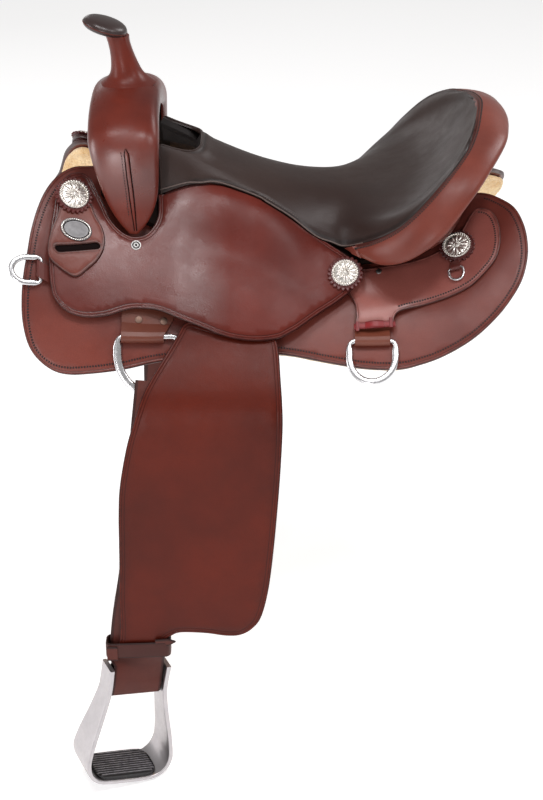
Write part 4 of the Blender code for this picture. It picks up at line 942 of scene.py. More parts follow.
# stitches along the seat's sewn edge, front part on the seat, rear part on the roll
def seat_line(v_in_mm, i0, i1, step=0.05):
    out, nn = [], []
    for side in (-1, 1):
        pts, ns = [], []
        for i in np.arange(i0, i1 + 1e-6, step):
            yb = max(float(spline(SEAT_ROWS, i)[3]), 8.0)
            v = side * (1 - v_in_mm / yb)
            p = seat_point(i, v)
            h = 0.02
            a = seat_point(min(i + h, 16.9), v) - seat_point(max(i - h, 0), v)
            b = seat_point(i, min(1, v + h)) - seat_point(i, max(-1, v - h))
            n = np.cross(a, b)
            n /= np.linalg.norm(n)
            pts.append(p)
            ns.append(n if n[2] > 0 else -n)
        out.append(np.array(pts))
        nn.append(np.array(ns))
    return out, nn


parts = []
pp, nn = seat_line(5.2, 0.3, 9.4)
for p, n in zip(pp, nn):
    parts.append(stitches(p - n * 0.0010, n, pitch=0.0032, width=0.0008))
ob = make("seat_stitching", *join(parts), THREAD_GREY)
put(ob, "saddle")
parts = []
pp, nn = seat_line(0.9, 0.0, 9.6)
for p, n in zip(pp, nn):
    parts.append(tube(p - n * 0.0002, n, 0.0009, 0.0009, 8))
ob = make("seat_edge_cord", *join(parts), THREAD_GREY)
put(ob, "saddle")

# the turned edge round the front of the seat and its hand hole
vv = np.concatenate([np.linspace(-1, -HAND_HOLE - 0.004, 30), np.linspace(-HAND_HOLE, HAND_HOLE, 241), np.linspace(HAND_HOLE + 0.004, 1, 30)])
st_ = np.where(np.abs(vv) < HAND_HOLE, 2.02 * np.maximum(0.0, 1 - (np.abs(vv) / HAND_HOLE) ** 5.0) ** (1 / 2.2), 0.0)
edge = np.array([seat_point(a + 0.03, b) for a, b in zip(st_, vv)])
for _ in range(3):
    edge = resample(edge, 0.0012, closed=False)
    edge[1:-1] = 0.5 * edge[1:-1] + 0.25 * (edge[:-2] + edge[2:])
out_n = edge - np.array([-0.110, 0.0, 0.095])
out_n /= np.linalg.norm(out_n, axis=1)[:, None]
v, f = tube(edge - out_n * 0.0007, out_n, 0.0013, 0.0013, 10)
ob = make("seat_front_edge", v, outward(v, f), SEAT_M, None, 60)
put(ob, "saddle")

# dark sheet of painted shade that closes the space between the fork cover and the front of the seat
for side, sg in (("near", -1), ("off", 1)):
    stack = []
    for x in np.linspace(-0.152, -0.131, 8):
        ring = []
        for thick in (0.0, 0.0016):
            line = []
            for v in np.linspace(1.0, 0.81, 12):
                q = seat_point(0.0, sg * v)
                line.append([x, q[1] * (0.955 - thick * 8), q[2] - 0.003 - thick])
            line = [[x, line[0][1], 0.052]] + line
            ring += line if thick == 0.0 else line[::-1]
        stack.append(np.array(ring))
    v, f = rings(stack)
    ob = make("seat_front_shade_sheet_" + side, v, outward(v, f), SHADE_LINING_M, None, 60)
    put(ob, "saddle")

# ------------------------------------------------------------ cantle roll
ROLL_B = [SEAT_ROWS[i][2:5] for i in range(9, 18)]
ROLL_ALL = [(b[0], -b[1], b[2], o[0], -o[1], o[2]) for b, o in zip(ROLL_B, ROLL_EDGE)]
ROLL_ALL += [(b[0], b[1], b[2], o[0], o[1], o[2]) for b, o in reversed(list(zip(ROLL_B, ROLL_EDGE))[:-1])]


def roll_frame(u):
    r = spline(ROLL_ALL, u)
    d = spline(ROLL_ALL, min(u + 0.05, 16)) - spline(ROLL_ALL, max(u - 0.05, 0))
    b, o = r[:3], r[3:]
    t = d[:3] / np.linalg.norm(d[:3])
    c = o - b
    m = np.cross(t, c)
    m /= np.linalg.norm(m)
    return b, c, (m if m[2] > 0 else -m)


def dome(t):
    """Height of the roll's face across its width: flat in the middle, round at the edges."""
    return math.sin(math.pi * min(1.0, max(0.0, t))) ** 0.62


def roll_point(u, q, lift_mm=0.0):
    b, c, m = roll_frame(u)
    ln = np.linalg.norm(c)
    t0 = 0.4 / ln
    bulge = 5.8 * min(1.0, ln / 30.0)
    t = t0 + (0.97 - t0) * q
    return (b + c * t + m * (bulge * dome(t) + 0.5 + lift_mm)) / 1000.0


stack, eds = [], []
N_ROLL = 160
for k in range(N_ROLL + 1):
    u = 16 * k / N_ROLL
    b, c, m = roll_frame(u)
    ln = float(np.linalg.norm(c))
    t0 = 0.4 / ln
    bulge = 5.8 * min(1.0, ln / 30.0)
    thick = 9.0 * min(1.0, ln / 26.0)
    ring, er = [], []
    qs = [0.0, 0.012, 0.03, 0.06, 0.12, 0.2, 0.3, 0.4, 0.5, 0.6, 0.7, 0.8, 0.87, 0.93]
    for q in qs:
        t = t0 + (0.97 - t0) * q
        dist = q * ln * (0.97 - t0)
        dip = 1.2 * max(0.0, 1 - dist / 1.3) ** 2
        ring.append(b + c * t + m * (bulge * dome(t) + 0.5 - dip))
        er.append(dist / 1000.0)
    lip = b + c * (t0 + (0.97 - t0) * 0.93)
    for g in (20, 50, 80, 110, 140, 165):          # rounded outer lip
        a = math.radians(g)
        hh = thick * 0.42
        mid = b + c * (0.965 - 0.35 * hh / ln) + m * (bulge * dome(0.97) + 0.5 - hh)
        ring.append(mid + c / ln * (hh * 0.62 * math.sin(a)) + m * (hh * math.cos(a)))
        er.append(0.02)
    for q in (0.85, 0.7, 0.45, 0.22, 0.0):
        t = t0 + (0.97 - t0) * q
        th = thick * (0.45 + 0.55 * math.sin(math.pi * min(1, 0.15 + 0.7 * q)))
        ring.append(b + c * t + m * (bulge * math.sin(math.pi * min(1, t)) - th))
        er.append(0.02)
    stack.append(np.array(ring) / 1000.0)
    eds += er
v, f = rings(stack)
ob = make("cantle_roll_leather", v, outward(v, f), ROLL_M, {"ed": np.array(eds)}, 60)
put(ob, "saddle", ["cantle_roll"])
us = np.linspace(0.25, 15.75, 700)
pts = []
for u in us:
    b, c, m = roll_frame(u)
    ln = float(np.linalg.norm(c))
    pts.append(roll_point(u, 3.6 / (ln * (0.97 - 0.4 / ln))))
nn = np.array([roll_frame(u)[2] for u in us])
ob = make("cantle_roll_stitching", *stitches(np.array(pts), nn, pitch=0.0033, width=0.00115, height=0.8), THREAD_BLACK)
put(ob, "saddle")
pts = np.array([(roll_frame(u)[0]) for u in us]) / 1000.0
v, f = tube(pts[::3] - nn[::3] * 0.0004, nn[::3], 0.0010, 0.0010, 8)
ob = make("cantle_welt", v, outward(v, f), STRAP_M)
put(ob, "saddle")

# ------------------------------------------------------------ swell and horn
ARCH = [(113, 45, -168, 6, 3), (116.5, 60, -168, 19, 7), (118.5, 90, -170, 33, 13), (120, 130, -175.5, 39.5, 19),
        (112, 163, -178, 43, 22), (91, 182, -179, 43.5, 24), (52, 199, -180.5, 43, 25), (0, 207.5, -180, 43, 26)]
ARCH_ALL = [(-r[0],) + r[1:] for r in ARCH] + [r for r in reversed(ARCH[:-1])]
N_ARCH = len(ARCH_ALL) - 1


def arch_frame(u):
    y, z, xc, a, b = spline(ARCH_ALL, u)
    d = spline(ARCH_ALL, min(u + 0.05, N_ARCH)) - spline(ARCH_ALL, max(u - 0.05, 0))
    t = np.array([0, d[0], d[1]])
    t /= np.linalg.norm(t)
    out = np.array([0, -t[2], t[1]])
    if out[1] * y < 0 and abs(y) > 60:
        out = -out
    if abs(y) <= 60 and out[2] < 0:
        out = -out
    return y, z, xc, a, b, out


def arch_ring(u, shell, angles):
    y, z, xc, a, b, out = arch_frame(u)
    mid = np.array([xc, y, z]) - out * b
    t_sh = min(shell, 0.45 * min(a, b))
    aa, bb = a - t_sh, b - t_sh
    ring = []
    for ang in angles:
        c, s = math.cos(ang), math.sin(ang)
        e = 0.76
        dx = -aa * math.copysign(abs(c) ** e, c)
        lean = 0.05 * float(smoothstep((z - 110) / 70))
        ring.append((mid + np.array([dx, 0, dx * lean]) + out * (bb * math.copysign(abs(s) ** e, s))) / 1000.0)
    return np.array(ring)


n_ang, n_u = ((56, 120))
ang_c = []
for k in range(n_ang + 1):
    ang_c.append(math.radians(-32 + 244 * k / n_ang))
stack, crease_and_shade = [], []
for k in range(n_u + 1):
    u = N_ARCH * k / n_u
    stack.append(np.vstack([arch_ring(u, 0.0, ang_c), arch_ring(u, 3.0, ang_c)[::-1]]))
stack = np.array(stack)
for _ in range(26):           # one skin drawn tight over the fork
    stack[1:-1] = 0.5 * stack[1:-1] + 0.25 * (stack[:-2] + stack[2:])
v, f = rings(list(stack), caps=False)
m = 2 * (n_ang + 1)
for row in (0, n_u):
    for j in range(n_ang):
        q4 = (row * m + j, row * m + j + 1, row * m + m - 2 - j, row * m + m - 1 - j)
        f.append(tuple(reversed(q4)) if row == 0 else q4)
ob = make("swell_leather", v, outward(v, f), SWELL_M, None, 60)
put(ob, "saddle", ["swell_cover"])

# welt of the swell's side seam: two plies pressed together, with stitches beside them
WELT = [(-174.2, -114.9, 154.5), (-172.6, -118.0, 142.5), (-171.0, -119.8, 124), (-169.2, -119.5, 104),
        (-167.9, -118.4, 85), (-166.6, -117.1, 67), (-165.6, -114.4, 50)]
w_pts = np.array([spline(WELT, 6 * k / 80.0) for k in range(81)]) / 1000.0
w_n = np.array([(0.10, -0.98, 0.16 if k < 30 else 0.02) for k in range(81)], float)
for side in ("near", "off"):
    flip = side == "off"
    width = np.array([0.0026 * float(smoothstep(k / 8)) * (1 - 0.55 * float(smoothstep((k - 45) / 35))) + 0.0003 for k in range(81)])
    parts = []
    # two dark lines of painted shade along both sides of the welt
    for sgn in (-1, 1):
        off = np.zeros((81, 3))
        off[:, 0] = sgn * width * 0.95
        v, f = tube(w_pts + off + w_n * 0.0002, w_n, 0.00060, 0.0011, 8)
        parts.append((v, f))
    v, f = join(parts)
    ob = make("swell_welt_shade_lines_" + side, v, f, PAINTED_SHADE_M, None, 60, flip)
    put(ob, "saddle")
    v, f = tube(w_pts + w_n * 0.0001, w_n, width * 0.8, 0.0014, 10)
    ob = make("swell_welt_" + side, v, f, SWELL_M, None, 60, flip)
    put(ob, "saddle")
    st = w_pts[4:66].copy()
    st[:, 0] -= 0.0062
    v, f = stitches(st + w_n[4:66] * 0.0003, w_n[4:66], pitch=0.0034, width=0.00045)
    ob = make("swell_stitching_" + side, v, f, THREAD_DARK, None, 60, flip)
    put(ob, "saddle")

NECK = [(-177.0, 201.0, 34.0, 34.0), (-177.3, 204.5, 29.5, 29.5), (-177.5, 207.8, 25.4, 25.4), (-178.0, 212.5, 21.4, 21.6),
        (-179.3, 220, 18.4, 18.6), (-181.8, 232, 16.2, 16.4), (-185, 245, 15.2, 15.4), (-188.5, 257.5, 15.6, 15.8),
        (-191.0, 265, 17.5, 17.5)]
CAP_C = np.array([-0.2035, 0, 0.2700])
CAP_AX = np.array([math.sin(math.radians(17.0)), 0, math.cos(math.radians(17.0))])
stack = []
for k in range(61):
    x, z, rx, ry = spline(NECK, 8 * k / 60)
    a0 = math.radians(17.0) * float(smoothstep((k - 18) / 34))
    ring = []
    for j in range(40):
        a = 2 * math.pi * j / 40
        crimp = 1 + 0.030 * math.sin(11 * a + 1.3 + 0.05 * k) * float(smoothstep((k - 40) / 16)) + 0.008 * math.sin(5 * a)
        # the seam down the back of the neck
        seam_ = 0.5 * math.exp(-((a - 0.15) / 0.10) ** 2)
        ring.append((np.array([x, 0, z]) + np.array([math.cos(a0), 0, -math.sin(a0)]) * ((rx * crimp + seam_) * math.cos(a))
                     + np.array([0, 1.0, 0]) * (ry * crimp * math.sin(a))) / 1000.0)
    stack.append(np.array(ring))
v, f = rings(stack)
ob = make("horn_neck_leather", v, outward(v, f), SWELL_M, None, 50)
put(ob, "saddle", ["horn_neck"])
prof = [(0, -0.0046), (0.0100, -0.0046), (0.0150, -0.0048), (0.0200, -0.0046), (0.0240, -0.0036), (0.0264, -0.0018), (0.0275, 0.0008),
        (0.0275, 0.0022), (0.0270, 0.0042), (0.0252, 0.0066), (0.0220, 0.0086), (0.0170, 0.0101), (0.0110, 0.0110),
        (0.0050, 0.0114), (0, 0.0115)]


def cap_oval(a, r, h):
    return r * (1 + 0.012 * math.cos(2 * a)), h


v, f = lathe(prof, CAP_C, CAP_AX, 72, wobble=cap_oval)
ob = make("horn_cap_leather", v, f, CAP_M, None, 70)
put(ob, "saddle", ["horn_cap"])
ring = []
up = CAP_AX
ux = np.array([math.cos(math.radians(17.0)), 0, -math.sin(math.radians(17.0))])
for k in range(120):
    a = 2 * math.pi * k / 120
    ring.append(CAP_C + up * 0.0012 + ux * (0.02755 * (1 + 0.012 * math.cos(2 * a)) * math.cos(a))
                + np.array([0, 1.0, 0]) * (0.02755 * (1 + 0.012 * math.cos(2 * a)) * math.sin(a)))
ring = np.array(ring + ring[:1])
ob = make("horn_cap_seam", *tube(ring[:-1], np.tile(up, (120, 1)), 0.00055, 0.0007, 8, True), STRAP_M)
put(ob, "saddle")

# ------------------------------------------------------------ keeper, badge, conchos
KEEPER_PATTERN = [(-256, 104), (-258, 123), (-265, 147), (-269, 168), (-267, 182), (-255, 188), (-236, 190),
                  (-220, 173), (-208, 156), (-202, 137), (-205, 121), (-214, 108), (-221, 94), (-228, 82),
                  (-241, 76), (-252, 86)]


def slot_shape(x0, s0, x1, s1, half):
    a, b = np.array([x0, s0], float), np.array([x1, s1], float)
    d = (b - a) / np.linalg.norm(b - a)
    w = np.array([-d[1], d[0]])
    out = [tuple(a + (b - a) * t + w * half) for t in (0.0, 0.25, 0.5, 0.75, 1.0)] + [tuple(b + d * half)]
    return out + [tuple(a + (b - a) * t - w * half) for t in (1.0, 0.75, 0.5, 0.25, 0.0)] + [tuple(a - d * half)]


def keeper_low(x, s):
    return soft_table(JOCKEY_TOP, x) + 0.0008


def keeper_top(x, s):
    return keeper_low(x, s) + 0.0034


built = panel(KEEPER_PATTERN, keeper_low, keeper_top, 0.0045, 0.0020, r=0.0011, grooves=((0.0028, 0.00025, 0.0004),),
              holes=[slot_shape(-257, 167, -211, 143, 3.2)])
both("keeper_leather", built, KEEPER_M, "saddle", "latigo_keeper")


# thin near-black plate of painted shadow under the keeper's slot
both("keeper_slot_shadow", panel(slot_shape(-257, 167, -211, 143, 3.6), lambda x, s: keeper_low(x, s) - 0.0004,
                                 lambda x, s: keeper_low(x, s) + 0.0007, 0.003, 0.0015, r=0.0002), PAINTED_SHADE_M, "saddle",
     None)


def rest_on(top_fn, x, s, r):
    h = 0.6 * r
    c = base(x, s, top_fn(x, s))
    dx = base(x + h, s, top_fn(x + h, s)) - base(x - h, s, top_fn(x - h, s))
    ds = base(x, s + h, top_fn(x, s + h)) - base(x, s - h, top_fn(x, s - h))
    n = np.cross(ds, dx)
    n /= np.linalg.norm(n)
    n = n if n[2] > 0 else -n
    a = np.linspace(0, 2 * math.pi, 24, endpoint=False)
    lf = 0.0
    for q in (0.5, 1.0):
        pts = base(x + r * q * np.cos(a), s + r * q * np.sin(a), top_fn(x + r * q * np.cos(a), s + r * q * np.sin(a)))
        lf = max(lf, float(((pts - c) @ n).max()))
    return c + n * (lf + 0.0004), n


def oval_badge():
    """Plain oval plate with a corded border, laid on the keeper."""
    cx, cs, rot = -0.236, 0.135, math.radians(-27)

    def at(p, q, up_):
        x = cx + p * math.cos(rot) - q * math.sin(rot)
        s = cs + p * math.sin(rot) + q * math.cos(rot)
        return base(x, s, keeper_top(x, s) + 0.0004 + up_)
    rows = []
    for f_, up_ in ((1.0, 0.0), (1.0, 0.0012), (0.985, 0.0016), (0.93, 0.0018), (0.87, 0.0017), (0.84, 0.0012), (0.80, 0.0011),
                    (0.6, 0.0014), (0.4, 0.0016), (0.2, 0.0017)):
        rows.append(np.array([at(0.0195 * f_ * math.cos(a), 0.0125 * f_ * math.sin(a), up_)
                              for a in np.linspace(0, 2 * math.pi, 64, endpoint=False)]))
    v, f = rings(rows)
    rope = []
    inner = np.array([at(0.0160 * math.cos(a), 0.0096 * math.sin(a), 0.0012) for a in np.linspace(0, 2 * math.pi, 96, endpoint=False)])
    path = np.array([at(0.0178 * math.cos(a), 0.0112 * math.sin(a), 0.0019) for a in np.linspace(0, 2 * math.pi, 120, endpoint=False)])
    up_n = np.array([at(0, 0, 0.01) - at(0, 0, 0)]) / 0.01
    for k in range(0, 120, 3):
        c = path[k]
        t = path[(k + 1) % 120] - path[k - 1]
        t /= np.linalg.norm(t)
        n = up_n[0] / np.linalg.norm(up_n[0])
        w = np.cross(n, t)
        dr = (t * 0.8 + w * 0.6) / math.hypot(0.8, 0.6)
        ww = np.cross(n, dr)
        ring0 = []
        for q, rr in ((-1, 0.3), (-0.55, 0.9), (0, 1.0), (0.55, 0.9), (1, 0.3)):
            ring0.append(np.array([c + dr * (0.00135 * q) + ww * (0.00062 * rr * math.cos(g)) + n * (0.00062 * rr * math.sin(g))
                                   for g in np.linspace(0, 2 * math.pi, 6, endpoint=False)]))
        rope.append(rings(ring0))
    up_all = np.tile(up_n[0] / np.linalg.norm(up_n[0]), (len(inner), 1))
    return (v, outward(v, f)), join(rope), tube(inner, up_all, 0.00055, 0.00045, 8, True)


plate, rope, groove_shade_line = oval_badge()
both("keeper_badge_plate", plate, BADGE_M, "saddle", "keeper_badge", angle=30)
both("keeper_badge_rope", rope, SILVER_M, "saddle", None, angle=50)
# dark line of painted shade in the groove inside the badge's corded border
both("keeper_badge_groove_shade", groove_shade_line, PAINTED_SHADE_M, "saddle", None, angle=60)


def concho_set(name, x, s, top_fn, r_leather, r_metal, scallops=20):
    """Scalloped leather rosette, and a domed metal concho with a corded rim and cut petals."""
    p, ax = rest_on(top_fn, x / 1000.0, s / 1000.0, r_leather)
    seg = scallops * 6

    def scal(a, r, h):
        k = abs(math.cos(scallops * a / 2))
        return (r * (1.0 + 0.13 * (k - 0.62)) if r > r_leather * 0.9 else r), h
    v, f = lathe([(0, 0.0), (r_leather * 0.6, 0.0), (r_leather * 0.99, 0.0), (r_leather * 1.0, 0.0006), (r_leather * 0.995, 0.0018),
                  (r_leather * 0.95, 0.0026), (r_leather * 0.88, 0.0023), (r_leather * 0.86, 0.0027), (r_metal * 0.8, 0.0029),
                  (0, 0.0027)], p, ax, seg, wobble=scal)
    edge_d = []
    built_ = (v, f)
    both(name + "_rosette", built_, ROSETTE_M, "saddle", name, angle=35)
    petals = 12

    def face_(a, r, h):
        if r > r_metal * 0.93 or r < r_metal * 0.05:
            return r, h
        k = r / r_metal
        wave_ = 0.00058 * math.cos(petals * a) * math.sin(math.pi * min(1.0, max(0.0, (k - 0.05) / 0.75)))
        inner = 0.0004 * math.cos(petals * 2 * a + 1.0) * math.exp(-((k - 0.78) / 0.07) ** 2)
        return r, h + wave_ + inner
    prof_ = [(0, 0.0028), (r_metal * 0.98, 0.0028), (r_metal, 0.0032), (r_metal, 0.0044), (r_metal * 0.965, 0.0052),
             (r_metal * 0.90, 0.0054), (r_metal * 0.86, 0.0047), (r_metal * 0.80, 0.0050), (r_metal * 0.70, 0.0056),
             (r_metal * 0.58, 0.0060), (r_metal * 0.46, 0.0062), (r_metal * 0.34, 0.0062), (r_metal * 0.26, 0.0058),
             (r_metal * 0.22, 0.0062), (r_metal * 0.16, 0.0070), (r_metal * 0.08, 0.0074), (0, 0.0075)]
    v, f = lathe(prof_, p, ax, 144, wobble=face_)
    both(name + "_metal", (v, f), SILVER_M, "saddle", None, angle=30)
    u = np.cross(ax, [0, 1.0, 0.2])
    u /= np.linalg.norm(u)
    w = np.cross(ax, u)
    beads = []
    nb = 34
    for k in range(nb):
        a = 2 * math.pi * k / nb
        rad = u * math.cos(a) + w * math.sin(a)
        tan = -u * math.sin(a) + w * math.cos(a)
        c = p + rad * (r_metal * 0.925) + ax * 0.0052
        dr = (tan * 0.62 + rad * 0.78)
        dr /= np.linalg.norm(dr)
        ww = np.cross(ax, dr)
        rr0 = []
        for q, rr in ((-1, 0.35), (-0.5, 0.95), (0, 1.0), (0.5, 0.95), (1, 0.35)):
            rr0.append(np.array([c + dr * (0.0022 * q) + ww * (0.00125 * rr * math.cos(g)) + ax * (0.00115 * rr * math.sin(g))
                                 for g in np.linspace(0, 2 * math.pi, 8, endpoint=False)]))
        beads.append(rings(rr0))
    v, f = join(beads)
    both(name + "_rope", (v, f), SILVER_M, "saddle", None, angle=60)


concho_set("concho_front", -241, 96, keeper_top, 0.0228, 0.0182, 24)
concho_set("concho_mid", 90.5, 126, jockey_top, 0.0212, 0.0162, 22)
concho_set("concho_rear", 228, 108, rear_jockey_top, 0.0215, 0.0170, 22)


def rivet(name, x, s, top_fn, r, mat, prof_=None):
    p, ax = rest_on(top_fn, x / 1000.0, s / 1000.0, r)
    p = p - ax * 0.0005
    prof_ = prof_ or [(0, 0), (r, 0), (r, 0.0006), (r * 0.9, 0.0011), (r * 0.6, 0.0015), (0, 0.0017)]
    v, f = lathe(prof_, p, ax, 32)
    both(name, (v, f), mat, "saddle", None, angle=30)


R0 = 0.0062
rivet("ring_rivet_rim", -165, 125.5, jockey_top, R0, RIVET_M,
      [(0, 0), (R0, 0), (R0, 0.0008), (R0 * 0.92, 0.0013), (R0 * 0.80, 0.0013), (R0 * 0.72, 0.0006), (R0 * 0.56, 0.0006),
       (R0 * 0.52, 0.0014), (R0 * 0.42, 0.0017), (R0 * 0.26, 0.0015), (R0 * 0.20, 0.0004), (0, 0.0004)])
# dark disc of painted shade showing in the rivet's groove and centre
rivet("ring_rivet_painted_shade", -165, 125.5, jockey_top, R0 * 0.78, PAINTED_SHADE_M,
      [(0, 0), (R0 * 0.78, 0), (R0 * 0.78, 0.00075), (0, 0.00075)])
rivet("rear_screw", 132, 119, rear_jockey_top, 0.0036, RUST_BOLT)


def plate_top(x, s):
    return np.full(np.shape(x), 0.0243)


rivet("front_plate_rivet_a", -161, 210, plate_top, 0.0046, AGED_M)
rivet("front_plate_rivet_b", -131, 203, plate_top, 0.0046, AGED_M)

# ------------------------------------------------------------ rigging leather (CAD folds kept, edges softened)
for n, mat in (("front_rigging_plate", RIG_M), ("rear_rigging_loop", RIG_M), ("breast_tab", TAB_M),
               ("small_dee_strap", TAB_M)):
    for side in ("near", "off"):
        ob = NODES[n + "_" + side]
        ob.data.materials.clear()
        ob.data.materials.append(mat)
        bv = ob.modifiers.new("soft_edge", "BEVEL")
        bv.width, bv.segments, bv.limit_method, bv.angle_limit = 0.0006, 2, "ANGLE", math.radians(35)
        ob.data.shade_smooth()
        ob.data.set_sharp_from_angle(angle=math.radians(50))


def strip(points, tops, half, thick, body="saddle", name="", mat=STRAP_M, slot="leather_dark", r=0.0007, twist=None):
    """Flat strap along points in space, with rounded edges: thick along the normals."""
    p = np.asarray(points, float)
    n = np.asarray(tops, float)
    t = frames_along(p)
    n = n - t * (n * t).sum(1)[:, None]
    n /= np.linalg.norm(n, axis=1)[:, None]
    w = np.cross(n, t)
    stack_, ed_ = [], []
    k = r / float(np.max(half))
    prof_ = [(-1, 0.30), (-1 + 0.25 * k, 0.78), (-1 + k, 1.0), (-0.5, 1.0), (0, 1.0), (0.5, 1.0), (1 - k, 1.0), (1 - 0.25 * k, 0.78),
             (1, 0.30), (1 - 0.4 * k, 0.0), (0, 0.0), (-1 + 0.4 * k, 0.0)]
    for i in range(len(p)):
        hh = half[i] if hasattr(half, "__len__") else half
        stack_.append(np.array([p[i] + w[i] * (q * hh) + n[i] * (k * thick) for q, k in prof_]))
        ed_ += [(1 - abs(q)) * hh for q, k in prof_]
    v, f = rings(stack_)
    return v, outward(v, f), {"ed": np.array(ed_)}


# red lacing across the rear rigging, with the knot in the middle
line, nn = line_on([(101, 187.5), (110, 188), (125, 188.6), (140, 189.2), (149.5, 189.8)], lambda x, s: rear_jockey_top(x, s) + 0.0002,
                   step=0.0015)
drop_ = np.zeros(len(line))
ends = np.minimum(np.arange(len(line)), np.arange(len(line))[::-1])
line = line - nn * (0.0030 * (1 - smoothstep(ends / 3.0)))[:, None]
built = strip(line, nn, 0.0040, 0.0016, r=0.0006)
both("rear_lacing_band", built, LACE_M, "saddle", None)
mid_i = len(line) // 2
k0, k1 = mid_i - 7, mid_i + 7
arcp = line[k0:k1 + 1] + nn[k0:k1 + 1] * (0.0008 + 0.0030 * np.sin(np.linspace(0, math.pi, k1 - k0 + 1)))[:, None]
both("rear_lacing_knot", strip(arcp, nn[k0:k1 + 1], 0.0046, 0.0017, r=0.0006), LACE_M, "saddle", None)
for tag, xx in (("front", 104.5), ("back", 145.0)):
    line2, nn2 = line_on([(xx, 182.5), (xx, 186.0), (xx, 190.5), (xx, 194.0)], lambda x, s: rear_jockey_top(x, s) + 0.0012, step=0.001)
    both("rear_lacing_" + tag, strip(line2, nn2, 0.0022, 0.0012, r=0.0006), LACE_M, "saddle", None)

# stitches of the rigging leather
c, n = line_on([(-181, 226), (-160, 219.5), (-133, 211)], lambda x, s: plate_top(x, s), step=0.001)
both("front_plate_stitching", stitches(c, n, pitch=0.0030, width=0.0005), THREAD_BLACK, "saddle", None)
c, n = line_on([(102.5, 198.5), (122, 200.5), (143, 202.6)], 0.0240, step=0.001)
both("rear_loop_stitching", stitches(c, n, pitch=0.0030, width=0.0005), THREAD_BLACK, "saddle", None)
c, n = line_on([(-250, 193.5), (-250, 200.5), (-250, 207.5)], 0.0232, step=0.001)
both("breast_tab_stitching", stitches(c, n, pitch=0.0028, width=0.0005), THREAD_BLACK, "saddle", None)


# ------------------------------------------------------------ dees
def base_normal(x, s, n):
    h = 1e-4
    a = base(x + h, s, n) - base(x - h, s, n)
    b = base(x, s + h, n) - base(x, s - h, n)
    v = np.cross(b, a)
    v /= np.linalg.norm(v)
    return v if v[2] > 0 else -v


def dee_path(half, height, arm, bend):
    pts = []
    for k in range(9):                             # bar
        pts.append((half - bend - (2 * half - 2 * bend) * k / 8, 0.0))
    for k in range(1, 8):                          # corner
        a = math.pi / 2 * k / 8
        pts.append((-half + bend - bend * math.sin(a), bend - bend * math.cos(a)))
    pts.append((-half, bend))
    for k in range(0, 41):
        a = math.pi * k / 40
        pts.append((-half * math.cos(a), arm + (height - arm) * math.sin(a)))
    pts.append((half, bend))
    for k in range(1, 8):
        a = math.pi / 2 * k / 8
        pts.append((half - bend + bend * math.cos(a), bend - bend * math.sin(a)))
    return pts


def ring_of_wire(p0, eb, eh, half, height, arm, a, b, bend, bow):
    """Dee with a round bar and a flatter, wider bow."""
    n = np.cross(eb, eh)
    n /= np.linalg.norm(n)
    path = np.array([p0 + eb * u + eh * v for u, v in dee_path(half, height, arm, bend)])
    path = resample(path, 0.0016)
    wide = a + (bow - a) * smoothstep(((path - p0) @ eh) / bend - 0.7)
    return tube(path, np.tile(n, (len(path), 1)), wide, b, 16, True, 0.8)


def bar_frame(xa, sa, xb, sb, n, tip=0.0):
    a, b = base(xa, sa, n), base(xb, sb, n)
    p0 = (a + b) / 2
    eb = (b - a) / np.linalg.norm(b - a)
    nr = base_normal((xa + xb) / 2, (sa + sb) / 2, n)
    nr = nr - eb * np.dot(nr, eb)
    nr /= np.linalg.norm(nr)
    h = np.cross(nr, eb)
    h = -h if h[2] > 0 else h
    h = h * math.cos(tip) - nr * math.sin(tip)
    return p0, eb, h / np.linalg.norm(h)


n_front = SKIRT[1] + 0.0075
fd = bar_frame(-0.150 - 0.030, 0.2295 + 0.30 * 0.024, -0.150 + 0.030, 0.2295 - 0.30 * 0.036, n_front, math.radians(8.6))
both("front_dee_wire", ring_of_wire(*fd, 0.0368, 0.0662, 0.020, 0.0033, 0.0028, 0.0074, 0.0052), STEEL_M, "front_dee_ring",
     "front_dee", 60)
n_rear = SKIRT[1] + 0.0062
rd = bar_frame(0.1225 - 0.0215, 0.2065 - 0.0021, 0.1225 + 0.0215, 0.2065 + 0.0021, n_rear)
both("rear_dee_wire", ring_of_wire(*rd, 0.0280, 0.0512, 0.020, 0.0028, 0.0026, 0.007, 0.0042), STEEL_M, "rear_dee_ring",
     "rear_dee", 60)
nb = SKIRT[1] + 0.0057
pa, pb = base(-0.2775, 0.1900, nb), base(-0.2775, 0.2110, nb)
p0, eb = (pa + pb) / 2, (pb - pa) / np.linalg.norm(pb - pa)
nr = base_normal(-0.2775, 0.2005, nb)
nr = nr - eb * np.dot(nr, eb)
nr /= np.linalg.norm(nr)
eh = np.cross(nr, eb)
eh = -eh if eh[0] > 0 else eh
both("breast_dee_wire", ring_of_wire(p0, eb, eh, 0.0155, 0.0358, 0.016, 0.0023, 0.0022, 0.0043, 0.0035), STEEL_M,
     "breast_dee_ring", "breast_dee", 60, ("near",))
BACK = math.radians(114.0)
eh2 = eh * math.cos(BACK) + nr * math.sin(BACK)
both("breast_dee_wire", ring_of_wire(p0, eb, eh2, 0.0155, 0.0358, 0.016, 0.0023, 0.0022, 0.0043, 0.0035), STEEL_M,
     "breast_dee_ring", "breast_dee", 60, ("off",))
sd = bar_frame(0.2180, 0.1365, 0.2300, 0.1365, 0.0273)
both("small_dee_wire", ring_of_wire(*sd, 0.0090, 0.0165, 0.006, 0.0013, 0.0013, 0.003, 0.0015), STEEL_M, "small_dee_ring",
     "small_dee", 60)

# ------------------------------------------------------------ fender
LEG = [(171, -34), (191, -65.5), (213, -91.5), (235, -119), (247, -150), (252, -200), (254, -300), (255, -400),
       (255, -530), (255, -700)]
_c2 = np.array([spline(LEG, k / 16.0) / 1000.0 for k in range(16 * (len(LEG) - 1) + 1)])
_run = np.concatenate([[0], np.cumsum(np.linalg.norm(np.diff(_c2, axis=0), axis=1))])


